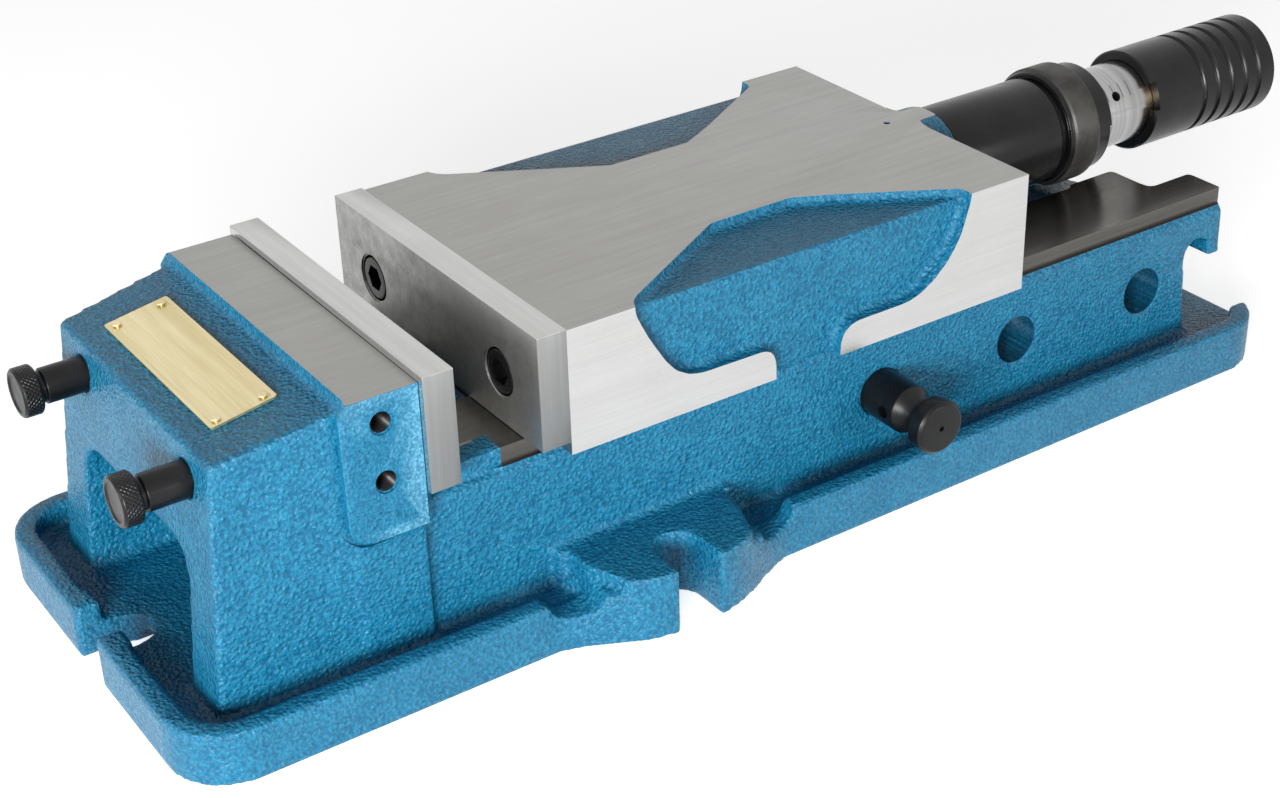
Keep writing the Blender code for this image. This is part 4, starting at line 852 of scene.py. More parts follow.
@dataclass(frozen=True)
class SealRubber:
    """Black moulded rubber."""

    name: str = "seal_rubber_skin"
    dark: Colour = (0.02, 0.02, 0.02)
    light: Colour = (0.035, 0.035, 0.035)

    def make(self, shared: Shared) -> bpy.types.Material:
        """Builds the material."""
        material, graph, shader, where = start_material(self.name)
        spots = use_group(graph, shared.blotches, Vector=where, Scale=200.0).outputs[0]
        graph.feed(shader, "Base Color", graph.shades(spots, self.dark, self.light))
        graph.feed(shader, "Roughness", graph.remap(spots, UNIT, (0.6, 0.75)))
        bump(graph, shader, spots, 0.3, 0.00003)
        return material


Finish = PaintedIron | GroundMetal | BlackOxide | BrassSheet | ScaledSteel | SealRubber


@dataclass
class Finishes:
    """Every finish of the vise, built once."""

    shared: Shared = field(init=False)
    paint: bpy.types.Material = field(init=False)
    smooth: bpy.types.Material = field(init=False)
    bore: bpy.types.Material = field(init=False)
    machined: bpy.types.Material = field(init=False)
    slideway: bpy.types.Material = field(init=False)
    plate: bpy.types.Material = field(init=False)
    tooled: bpy.types.Material = field(init=False)
    edge: bpy.types.Material = field(init=False)
    side: bpy.types.Material = field(init=False)
    blasted: bpy.types.Material = field(init=False)
    steel: bpy.types.Material = field(init=False)
    collar: bpy.types.Material = field(init=False)
    black: bpy.types.Material = field(init=False)
    brass: bpy.types.Material = field(init=False)
    sleeve: bpy.types.Material = field(init=False)
    rubber: bpy.types.Material = field(init=False)

    def __post_init__(self) -> None:
        """Builds the shared effects and the materials."""
        self.shared = Shared(cast_skin_group(), tool_marks_group(), blotch_group(), knurl_group())
        self.paint = self.make(PaintedIron())
        self.smooth = self.make(PaintedIron("blue_enamel_fine", grain=900.0, relief=0.0004))
        # A darker copy of the blue enamel for the pin holes: painted shade inside them.
        deep, light = (0.0012, 0.050, 0.105), (0.003, 0.075, 0.145)
        self.bore = self.make(PaintedIron("blue_enamel_bore_painted_shade", deep, light, grain=900.0, relief=0.0002))
        dark, light, along = (0.315, 0.312, 0.30), (0.355, 0.352, 0.338), (60.0, 1500.0, 1500.0)
        self.machined = self.make(GroundMetal("machined_iron", dark, light, (0.40, 0.34), along))
        dark, light, along = (0.22, 0.213, 0.200), (0.31, 0.302, 0.285), (20.0, 1400.0, 1400.0)
        self.slideway = self.make(GroundMetal("ground_slideway", dark, light, (0.26, 0.18), along))
        dark, light = (0.50, 0.50, 0.485), (0.58, 0.58, 0.565)
        self.plate = self.make(GroundMetal("ground_plate", dark, light, (0.36, 0.28), (1500.0, 30.0, 1500.0)))
        dark, light = (0.095, 0.090, 0.083), (0.145, 0.138, 0.127)
        self.tooled = self.make(GroundMetal("tooled_iron", dark, light, (0.42, 0.34), (30.0, 1500.0, 1500.0)))
        dark, light = (0.245, 0.25, 0.247), (0.295, 0.30, 0.297)
        self.edge = self.make(GroundMetal("plate_edge", dark, light, (0.46, 0.36), (1500.0, 1500.0, 30.0)))
        dark, light = (0.56, 0.558, 0.55), (0.62, 0.618, 0.61)
        self.side = self.make(GroundMetal("ground_side", dark, light, (0.28, 0.20), (40.0, 1500.0, 1500.0)))
        dark, light, even = (0.30, 0.30, 0.29), (0.46, 0.46, 0.445), (700.0, 700.0, 700.0)
        self.blasted = self.make(GroundMetal("blasted_face", dark, light, (0.55, 0.42), even, relief=0.00003))
        dark, light, turning = (0.28, 0.28, 0.28), (0.46, 0.46, 0.45), (3000.0, 15.0, 15.0)
        self.steel = self.make(GroundMetal("turned_steel", dark, light, (0.4, 0.25), turning, 0.5, 0.00002))
        dark, light = (0.035, 0.034, 0.031), (0.070, 0.068, 0.062)
        self.collar = self.make(BlackOxide("grey_oxide", rough=0.46, dark=dark, light=light, metallic=0.5))
        self.black = self.make(BlackOxide("black_oxide"))
        self.brass = self.make(BrassSheet())
        self.sleeve = self.make(ScaledSteel())
        self.rubber = self.make(SealRubber())

    def make(self, finish: Finish) -> bpy.types.Material:
        """Builds one finish with the shared effects."""
        return finish.make(self.shared)

    def casting(self) -> tuple[bpy.types.Material, ...]:
        """A casting's finishes, in the order of Skin."""
        bare = (self.machined, self.slideway, self.smooth, self.side, self.tooled)
        # The last two slots paint shade: darker enamel in the pin holes, black oxide on the tapped threads.
        return (self.paint, *bare, self.bore, self.black)

    def dress_hidden_solids(self) -> None:
        """Gives every carried-over solid of the frame a finish that fits its slot."""
        by_slot = {
            "blue_paint": self.paint,
            "ground_steel": self.plate,
            "blackened_steel": self.black,
            "hardened_steel": self.steel,
            "brass": self.brass,
            "seal_rubber": self.rubber,
        }
        slots = {row["node"]: row["material_slot"] for row in frame["record"]["subparts"]}
        for name, obj in frame["nodes"].items():
            material = by_slot[slots[name]]
            if not obj.data.materials:
                obj.data.materials.append(material)
            for index in range(len(obj.data.materials)):
                obj.data.materials[index] = material


# Sub-assemblies


@dataclass
class Casting:
    """A sand casting: a rough body with soft edges, then machined where it has to fit."""

    name: str
    node: str
    voxel: float = 0.0013
    rounding: int = 6
    faces: int = 180000
    allowance: float = 0.003

    def rough(self, stock: Sequence[bpy.types.Object], finishes: Finishes) -> bpy.types.Object:
        """Makes the rough body from the solid and the stock left on it for machining.

        Args:
            stock: Extra solids where a cutter will take material off.
            finishes: The finishes.

        Returns:
            The rough body, with every casting finish in its slots.
        """
        body = add_up(self.name, [node_copy(self.node, self.name), *stock])
        apply_step(body, "REMESH", mode="VOXEL", voxel_size=self.voxel)
        apply_step(body, "SMOOTH", factor=0.5, iterations=self.rounding)
        count = 2 * len(body.data.polygons)
        apply_step(body, "DECIMATE", ratio=min(1.0, self.faces / count))
        dress(body, *finishes.casting())
        return body


@dataclass
class BedCasting(Casting):
    """The base tray, the bed and the fixed jaw, in one casting."""

    name: str = "bed_casting"
    node: str = "vise_body"
    rail_top: float = 0.0792
    rail_half: float = 0.0660
    rail_land: float = 0.0185
    rail_start: float = 0.024
    rail_inner: float = 0.0545
    rail_foot: float = 0.0712
    flank_foot: float = 0.0716
    flank_reach: float = 0.0715
    slot_front: float = 0.0203
    slot_half: float = 0.0248
    slot_floor: float = 0.0615
    slot_lap: float = 0.0025
    front_half: float = 0.0100
    channel_half: float = 0.0486
    channel_lap: float = 0.0018
    saddle_start: float = 0.362
    notch_start: float = 0.3885
    bed_rear: float = 0.4145
    past_rear: float = 0.43
    block_top: float = 0.1253
    block_step: float = -0.0423
    block_half: float = 0.0766
    block_side: float = 0.0754
    seat_x: float = -0.0133
    pin_x: float = 0.2085
    pin_pitch: float = 0.0776
    pin_holes: int = 3
    pin_z: float = 0.0425
    pin_r: float = 0.01105
    pad_front: float = -0.0455
    pad_bottom: float = 0.0655
    pad_corner: float = 0.010
    pad_chamfer: float = 0.0042
    pad_face: float = 0.0770
    groove_width: float = 0.0030
    groove_depth: float = 0.0016
    stop_x: float = -0.0288
    stop_heights: Pair = (0.1140, 0.0895)
    stop_r: float = 0.0042
    stop_root: float = 0.0036
    stop_mouth: float = 0.0049
    stop_pitch: float = 0.00125
    stop_bottom: float = 0.0575

    def round_corner(self, reach: float, share: float) -> Pair:
        """A point round the pad's lower front corner, from its front to its foot."""
        angle = math.pi * (1.0 + share / 2)
        x, z = self.pad_front + self.pad_corner, self.pad_bottom + self.pad_corner
        return x + reach * math.cos(angle), z + reach * math.sin(angle)

    def stop_pad(self, sign: int) -> bpy.types.Object:
        """The raised pad for a work stop, on one side of the fixed jaw."""
        outline = [
            (self.seat_x, self.pad_bottom),
            (self.seat_x, self.block_top),
            (self.block_step, self.block_top),
            (self.pad_front, self.block_top - self.pad_chamfer),
        ]
        outline += [self.round_corner(self.pad_corner, k / 8) for k in range(9)]
        sides = sorted((sign * 0.070, sign * self.pad_face))
        pad = slab("stop_pad", outline, sides[0], sides[1], Axis.Y)
        with editing(pad, "EDGE") as work:
            choose(
                work,
                "edges",
                lambda edge: all(abs(abs(vert.co.y) - self.pad_face) < 1e-6 for vert in edge.verts)
                and max(vert.co.z for vert in edge.verts) < self.block_top - 0.004
                and min(vert.co.x for vert in edge.verts) < self.seat_x - 0.001,
            )
            bpy.ops.mesh.bevel(offset=0.0006, segments=3, affect="EDGES")
        return pad

    def pad_groove(self, sign: int) -> bpy.types.Object:
        """A cutter for the valley beside the stop pad, which runs out along its foot."""
        past_top, rim, steps = self.block_top + 0.006, 0.0002, 10
        inner = [(self.pad_front + rim, past_top)]
        outer = [(self.pad_front - self.groove_width, past_top)]
        for k in range(steps + 1):
            width = self.groove_width * (1.0 - 0.055 * k)
            inner.append(self.round_corner(self.pad_corner - rim, k / steps))
            outer.append(self.round_corner(self.pad_corner + width, k / steps))
        tail = [(self.pad_front + self.pad_corner + 0.012, self.pad_bottom - rim)]
        sides = sorted((sign * (self.block_side - self.groove_depth), sign * 0.09))
        return slab("cut", outer + tail + list(reversed(inner)), sides[0], sides[1], Axis.Y)

    def stop_hole(self, sign: int, height: float) -> bpy.types.Object:
        """A cutter for a tapped hole, its thread as rings."""
        near, far = self.pad_face + 0.001, self.pad_face - 0.001
        profile: Profile = [(sign * near, 0.0), (sign * near, self.stop_r), (sign * far, self.stop_r)]
        along = far
        while along > self.stop_bottom + 2 * self.stop_pitch:
            profile.append((sign * (along - self.stop_pitch / 2), self.stop_root))
            along -= self.stop_pitch
            profile.append((sign * along, self.stop_r))
        profile += [(sign * self.stop_bottom, self.stop_root), (sign * self.stop_bottom, 0.0)]
        return turned("cut", profile, Axis.Y, (self.stop_x, 0.0, height), 40)

    def rail_stock(self, sign: int) -> list[bpy.types.Object]:
        """The material left on one slideway, from its rear to the fixed plate."""
        slot, side = self.slot_half - self.slot_lap, self.rail_half + 0.0015
        pieces = []
        for start, end, inner, outer in (
            (self.rail_start - 0.001, self.notch_start, slot, side),
            (self.notch_start - 0.002, self.bed_rear, self.channel_half - self.channel_lap, side),
            (self.seat_x, self.slot_front, self.front_half, self.rail_inner),
            (self.slot_front - 0.002, self.rail_start + 0.001, slot, self.rail_inner),
        ):
            near, far = sorted((sign * inner, sign * outer))
            top = self.rail_top + self.allowance
            pieces.append(block("rail_stock", (start, near, self.rail_foot), (end, far, top)))
        return pieces

    def stock(self) -> list[bpy.types.Object]:
        """The material left on for machining, and plugs where holes are drilled later."""
        pieces = []
        for sign in (-1, 1):
            pieces += self.rail_stock(sign)
            for k in range(self.pin_holes):
                spot = (self.pin_x + k * self.pin_pitch, sign * 0.0596, self.pin_z)
                pieces.append(rod("hole_plug", spot, self.pin_r + self.allowance, 0.0195, Axis.Y, 32))
            for height in self.stop_heights:
                spot = (self.stop_x, sign * 0.066, height)
                pieces.append(rod("hole_plug", spot, 0.0075, 0.0215, Axis.Y, 24))
        half, front = self.block_half, self.seat_x + 0.0018
        top = self.block_top + self.allowance
        pieces.append(block("block_stock", (self.block_step, -half, 0.112), (front, half, top)))
        pieces.append(block("seat_stock", (-0.022, -half, 0.0795), (front, half, 0.115)))
        return pieces

    def machine(self, body: bpy.types.Object) -> None:
        """Cuts the slideways, the jaw seat and the holes."""
        top, inner = self.rail_top, self.rail_inner
        lands, flanks, holes, mouths, taps = [], [], [], [], []
        for sign in (-1, 1):
            near, far = sorted((sign * inner, sign * 0.0705))
            foot, end = (self.rail_land, near, top), self.rail_start + 0.0005
            lands.append(block("cut", foot, (end, far, 0.09)))
            near, far = sorted((sign * self.rail_half, sign * self.flank_reach))
            lands.append(block("cut", (self.rail_land, near, self.flank_foot), (end, far, 0.09)))
            flanks.append(block("cut", (self.rail_start, near, self.flank_foot), (self.past_rear, far, 0.09)))
            for k in range(self.pin_holes):
                spot = (self.pin_x + k * self.pin_pitch, sign * 0.06, self.pin_z)
                holes.append(rod("cut", spot, self.pin_r, 0.04, Axis.Y, 64))
            for height in self.stop_heights:
                spot = (self.stop_x, sign * (self.pad_face + 0.0006), height)
                mouths.append(rod("cut", spot, self.stop_mouth, 0.0030, Axis.Y, 40))
                taps.append(self.stop_hole(sign, height))
        half = self.slot_half
        flat = [
            block("cut", (self.rail_start, -0.0705, top), (self.past_rear, 0.0705, 0.09)),
            block("cut", (self.seat_x, -inner, top), (self.rail_start + 0.001, inner, 0.09)),
            block("cut", (self.slot_front, -half, self.slot_floor), (self.saddle_start, half, 0.09)),
        ]
        jaw = [
            block("cut", (self.block_step + 0.0002, -0.09, self.block_top), (0.01, 0.09, 0.14)),
            block("cut", (self.seat_x, -0.09, top + 0.0002), (self.rail_start, 0.09, 0.14)),
        ]
        carve(body, lands, Skin.PAINTED, "MANIFOLD")
        carve(body, flat, Skin.SLIDEWAY, "MANIFOLD")
        carve(body, flanks, Skin.TOOLED, "MANIFOLD")
        carve(body, jaw, Skin.MACHINED, "MANIFOLD")
        # The pin holes get the darker enamel, which paints the shade inside them.
        carve(body, holes, Skin.BORE, "MANIFOLD")
        carve(body, [self.pad_groove(-1), self.pad_groove(1)], Skin.SMOOTH, "MANIFOLD")
        weld(body, [self.stop_pad(-1), self.stop_pad(1)], Skin.SMOOTH)
        carve(body, mouths, Skin.SMOOTH, "MANIFOLD")
        # The tapped threads take the near-black oxide finish, which paints the shade inside the holes.
        carve(body, taps, Skin.THREAD, "MANIFOLD")

    def build(self, finishes: Finishes) -> None:
        """Builds the casting and ties it to the bed."""
        body = self.rough(self.stock(), finishes)
        self.machine(body)
        smooth_by_angle(body, 30)
        place(body, "bed", "blue_paint", None, ["vise_body"])


@dataclass
class SlideCasting(Casting):
    """The movable jaw with its hourglass top, side windows and rear boss."""

    name: str = "slide_casting"
    node: str = "movable_jaw"
    voxel: float = 0.0013
    faces: int = 140000
    front: float = 0.0483
    rear: float = 0.2788
    top: float = 0.1272
    half: float = 0.0792
    skirt: float = 0.0737
    sole: float = 0.0795
    tongue_half: float = 0.0245
    skirt_inner: float = 0.0663
    boss_rear: float = 0.29
    boss_r: float = 0.0292
    boss_end: float = 0.2918
    oil_hole_x: float = 0.2676
    oil_hole_r: float = 0.0015

    def hourglass(self) -> list[Pair]:
        """The outline of the machined top, in plan."""
        side = [
            (0.0780, 0.0815),
            (0.0826, 0.0719),
            (0.1445, 0.0357),
            (0.1852, 0.0354),
            (0.2023, 0.0449),
            (0.2472, 0.0721),
            (0.2500, 0.0815),
        ]
        near = [(x, -y) for x, y in side]
        front, rear = self.front - 0.0015, self.rear
        return [(front, -0.0815), *near, (rear, -0.0815), (rear, 0.0815), *reversed(side), (front, 0.0815)]

    def stock(self) -> list[bpy.types.Object]:
        """The material left on for machining."""
        front, rear = self.front - 0.0015, self.rear
        low = self.skirt - 0.0015
        ahead = [
            (front, 0.1300), (0.0777, 0.1300), (0.0780, 0.1262), (0.0850, 0.1120), (0.0920, 0.1004),
            (0.0972, 0.0940), (0.1036, 0.0903), (0.1100, 0.0890), (0.1400, 0.0884), (0.1440, 0.0862),
            (0.1458, 0.0815), (0.1460, low), (front, low),
        ]
        behind = [
            (rear, 0.1300), (0.2470, 0.1300), (0.2465, 0.1240), (0.2420, 0.1100), (0.2360, 0.0985),
            (0.2300, 0.0925), (0.2220, 0.0883), (0.2140, 0.0870), (0.1930, 0.0870), (0.1850, 0.0866),
            (0.1805, 0.0838), (0.1788, 0.0790), (0.1786, low), (rear, low),
        ]
        pieces = [slab("top_stock", self.hourglass(), 0.1215, self.top + self.allowance, Axis.Z)]
        for sign in (-1, 1):
            ends = sorted((sign * 0.0685, sign * (self.half + 0.0025)))
            pieces.append(slab("side_stock", ahead, ends[0], ends[1], Axis.Y))
            pieces.append(slab("side_stock", behind, ends[0], ends[1], Axis.Y))
        return pieces

    def machine(self, body: bpy.types.Object) -> None:
        """Cuts the top, the sides, the ends and the sole."""
        end = block("cut", (self.rear - 0.0003, -0.1, 0.05), (0.30, 0.1, 0.15))
        carve(end, [rod("cut", (self.boss_rear, 0, AXIS_Z), self.boss_r, 0.06, Axis.X, 64)])
        cuts = [
            block("cut", (0.0, -0.1, self.top), (0.4, 0.1, 0.15)),
            block("cut", (0.0, -0.1, 0.06), (self.front, 0.1, 0.15)),
            end,
            block("cut", (self.boss_end, -0.1, 0.05), (0.32, 0.1, 0.15)),
        ]
        sides = []
        for sign in (-1, 1):
            outer = sorted((sign * self.half, sign * 0.1))
            sides.append(block("cut", (0.0, outer[0], 0.05), (0.4, outer[1], 0.15)))
            foot = sorted((sign * (self.skirt_inner - 0.002), sign * 0.1))
            cuts.append(block("cut", (0.0, foot[0], 0.05), (0.4, foot[1], self.skirt)))
            sole = sorted((sign * self.tongue_half, sign * self.skirt_inner))
            cuts.append(block("cut", (0.0, sole[0], 0.05), (0.4, sole[1], self.sole)))
        carve(body, cuts, Skin.MACHINED, "MANIFOLD")
        carve(body, sides, Skin.GROUND, "MANIFOLD")
        oil_hole = rod("cut", (self.oil_hole_x, 0, self.top), self.oil_hole_r, 0.02, Axis.Z, 24)
        carve(body, [oil_hole], Skin.PAINTED, "MANIFOLD")

    def build(self, finishes: Finishes) -> None:
        """Builds the casting and ties it to the slide."""
        body = self.rough(self.stock(), finishes)
        self.machine(body)
        smooth_by_angle(body, 30)
        place(body, "slide", "blue_paint", None, ["movable_jaw"])


@dataclass
class JawPlate:
    """A ground jaw plate with two socket-head screws sunk in its face."""

    body: str
    jaw: str
    face_x: float
    inward: int
    thick: float = 0.013
    half: float = 0.080
    low: float = 0.0795
    high: float = 0.1282
    screw_y: float = 0.050
    screw_z: float = 0.1013
    screw_r: float = 0.006
    hole_r: float = 0.0063
    head_r: float = 0.009
    bore_r: float = 0.010
    seat: float = 0.0087
    head: float = 0.0082
    socket_r: float = 0.0058

    def build(self, finishes: Finishes) -> None:
        """Builds the plate and its screws."""
        node = f"{self.jaw}_jaw_plate"
        ends = sorted((self.face_x, self.face_x + self.inward * self.thick))
        plate = block(node + "_ground", (ends[0], -self.half, self.low), (ends[1], self.half, self.high))
        with editing(plate, "EDGE") as work:
            choose(work, "edges", lambda edge: True)
            bpy.ops.mesh.bevel(offset=0.0005, segments=2, affect="EDGES")
        cutters = []
        for sign in (-1, 1):
            spot = (self.face_x, sign * self.screw_y, self.screw_z)
            cutters.append(rod("cut", spot, self.bore_r, 0.018, Axis.X, 64))
            cutters.append(rod("cut", spot, self.bore_r + 0.0007, 0.0014, Axis.X, 64))
            cutters.append(rod("cut", spot, self.hole_r, 0.04, Axis.X, 40))
        carve(plate, cutters)
        smooth_by_angle(plate)
        dress(plate, finishes.plate, finishes.blasted, finishes.edge, finishes.side)
        for polygon in plate.data.polygons:
            polygon.material_index = self.side_of(polygon.normal).value
        place(plate, self.body, "ground_steel", None, [node])
        self.screw(-1, f"{self.jaw}_plate_screw_near", finishes)
        self.screw(1, f"{self.jaw}_plate_screw_far", finishes)

    def side_of(self, normal: Vector) -> PlateSide:
        """Which side of the plate a face belongs to."""
        facing = normal.x * self.inward
        if facing < -0.9:
            return PlateSide.GRIPPING
        # The back faces get the lighter, glossier ground steel: a painted highlight on the strip above the
        # block top.
        if facing > 0.6:
            return PlateSide.BACK
        return PlateSide.END if abs(normal.y) > 0.9 else PlateSide.TOP

    def screw(self, sign: int, node: str, finishes: Finishes) -> None:
        """Builds one socket-head screw, its head in the counterbore."""
        start = self.seat - self.head
        profile = softened(
            [
                (start, 0.0),
                (start, self.head_r),
                (self.seat, self.head_r),
                (self.seat, self.screw_r),
                (0.038, self.screw_r),
                (0.039, self.screw_r - 0.001),
                (0.039, 0.0),
            ],
            0.0006,
        )
        profile = [(self.face_x + self.inward * along, radius) for along, radius in profile]
        screw = turned(node + "_head", profile, Axis.X, (0.0, sign * self.screw_y, self.screw_z), 48)
        socket = (self.face_x + self.inward * (start + 0.0025), sign * self.screw_y, self.screw_z)
        carve(screw, [rod("cut", socket, self.socket_r, 0.0055, Axis.X, 6)])
        smooth_by_angle(screw)
        place(screw, self.body, "blackened_steel", finishes.black, [node])


@dataclass
class NamePlate:
    """A bare brass plate on the slope, held by four drive rivets."""

    length: float = 0.098
    width: float = 0.027
    thick: float = 0.001
    x: float = -0.0680
    inset: float = 0.004
    border: float = 0.0016
    corner: float = 0.0012
    rivet_r: float = 0.0019
    slope_top: Pair = (-0.0423, 0.1225)
    slope_front: Pair = (-0.0922, 0.1140)

    def matrix(self, lift: float) -> Matrix:
        """The plate's place on the slope, raised by a distance."""
        run = self.slope_top[0] - self.slope_front[0]
        rise = self.slope_top[1] - self.slope_front[1]
        angle = math.atan2(rise, run)
        height = self.slope_front[1] + rise * (self.x - self.slope_front[0]) / run
        normal = Vector((-math.sin(angle), 0.0, math.cos(angle)))
        spot = Vector((self.x, 0.0, height)) + normal * lift
        return Matrix.Translation(spot) @ Matrix.Rotation(-angle, 4, "Y")

    def build(self, finishes: Finishes) -> None:
        """Builds the plate with its border, and the rivets."""
        half_x, half_y = self.width / 2, self.length / 2
        plate = block("brass_plate", (-half_x, -half_y, 0.0), (half_x, half_y, self.thick))
        with editing(plate) as work:
            choose(work, "faces", lambda face: face.normal.z > 0.9)
            bpy.ops.mesh.inset(thickness=self.border, depth=0.0)
            bpy.ops.mesh.inset(thickness=0.0004, depth=-0.00025)
        with editing(plate, "EDGE") as work:
            choose(
                work, "edges", lambda edge: edge_is(edge, Axis.Z, lambda spot: abs(spot.x) > half_x - 1e-5)
            )
            bpy.ops.mesh.bevel(offset=self.corner, segments=3, affect="EDGES")
        plate.matrix_world = self.matrix(0.0003)
        settle(plate)
        smooth_by_angle(plate)
        place(plate, "bed", "brass", finishes.brass, ["name_plate"])
        corners = [(x * (half_x - self.inset), y * (half_y - self.inset)) for x in (-1, 1) for y in (-1, 1)]
        for number, (x, y) in enumerate(corners, 1):
            self.rivet(number, x, y, finishes)

    def rivet(self, number: int, x: float, y: float, finishes: Finishes) -> None:
        """Builds one drive rivet with its domed head."""
        head, rise, shank = self.rivet_r, 0.0006, 0.0010
        dome = [(rise * math.sin(a), head * math.cos(a)) for a in (0.4, 0.8, 1.2)]
        profile = [(-0.004, 0.0), (-0.004, shank), (0.0, shank), (0.0, head), *dome, (rise, 0.0)]
        rivet = turned(f"rivet_{number}", profile, Axis.Z, (0.0, 0.0, 0.0), 24)
        rivet.matrix_world = self.matrix(self.thick + 0.0009) @ Matrix.Translation((x, y, 0.0))
        settle(rivet)
        smooth_by_angle(rivet)
        place(rivet, "bed", "brass", finishes.brass, [f"name_plate_rivet_{number}"])


@dataclass
class FrontPin:
    """A pin with a knurled head, drawn out of the front end."""

    body: str
    sign: int
    y: float = 0.0478
    z: float = 0.1003
    shank_r: float = 0.0072
    head_r: float = 0.0100
    face_x: float = -0.1199
    head: float = 0.008
    chamfer: float = 0.0009
    tip: float = -0.042

    def build(self, finishes: Finishes) -> None:
        """Builds the pin."""
        face, end, rim, waist = self.face_x, self.face_x + self.head, self.head_r, self.shank_r - 0.001
        profile = softened(
            [
                (face + 0.0006, 0.0),
                (face + 0.0006, rim - 0.0026),
                (face, rim - 0.0022),
                (face, rim - self.chamfer),
                (face + self.chamfer, rim),
                (end - self.chamfer, rim),
                (end, rim - self.chamfer),
                (end, waist),
                (end + 0.0018, waist),
                (end + 0.0026, self.shank_r),
                (self.tip - 0.0015, self.shank_r),
                (self.tip, self.shank_r - 0.0015),
                (self.tip, 0.0),
            ],
            0.0003,
        )
        centre = (0.0, self.sign * self.y, self.z)
        pin = turned(self.body + "_turned", profile, Axis.X, centre, 72)
        smooth_by_angle(pin)
        knurl = (face + 0.0011, end - 0.0011)
        finish = finishes.make(BlackOxide(self.body + "_oxide", centre, Axis.X, knurl, 0.30))
        place(pin, self.body, "blackened_steel", finish, [self.body])


@dataclass
class PositionPin:
    """The pin that fixes the nut block, with a waisted neck and a round head."""

    x: float = 0.2085
    z: float = 0.0425
    shank_r: float = 0.01075
    wall: float = 0.0694
    shank: float = 0.021
    neck: float = 0.012
    neck_r: float = 0.0072
    head: float = 0.0072
    head_r: float = 0.012
    tip: float = 0.066
    cross_r: float = 0.0027

    def build(self, finishes: Finishes) -> None:
        """Builds the pin."""
        shank_end = self.wall + self.shank
        neck_end = shank_end + self.neck
        head_end = neck_end + self.head
        profile: Profile = [
            (-head_end, 0.0),
            (-head_end, self.head_r - 0.0016),
            (-head_end + 0.0014, self.head_r),
            (-neck_end + 0.0004, self.head_r),
            (-neck_end, self.head_r - 0.0008),
        ]
        steps, deep = 11, self.shank_r - self.neck_r
        for k in range(1, steps + 1):
            sweep = math.sin(math.pi * (0.12 + 0.88 * k / steps))
            profile.append((-neck_end + self.neck * k / steps, self.shank_r - 0.0006 - deep * sweep))
        profile.append((-shank_end + 0.0008, self.shank_r))
        profile += [(self.tip - 0.006, self.shank_r), (self.tip, 0.006), (self.tip, 0.0)]
        pin = turned("position_pin_turned", softened(profile, 0.0004), Axis.Y, (self.x, 0.0, self.z), 80)
        cross = rod("cut", (self.x, -shank_end + 0.006, self.z), self.cross_r, 0.04, Axis.X, 32)
        dot = rod("cut", (self.x, -head_end, self.z), 0.0012, 0.003, Axis.Y, 20)
        carve(pin, [cross, dot])
        smooth_by_angle(pin)
        finish = finishes.make(BlackOxide("position_pin_oxide", (self.x, 0.0, self.z), Axis.Y, rough=0.30))
        place(pin, "position_pin", "blackened_steel", finish, ["position_pin"])


def wedge(low: float, high: float, start: float, stop: float) -> bpy.types.Object:
    """A cutter for a sector round the spindle's axis.

    Args:
        low: Where it starts along the axis.
        high: Where it ends.
        start: Its first side, in degrees up from the -Y side.
        stop: Its last side.

    Returns:
        The cutter.
    """
    outline = [(0.0, AXIS_Z)]
    for k in range(9):
        angle = math.radians(start + (stop - start) * k / 8)
        outline.append((-0.04 * math.cos(angle), AXIS_Z + 0.04 * math.sin(angle)))
    return slab("cut", outline, low, high, Axis.X)


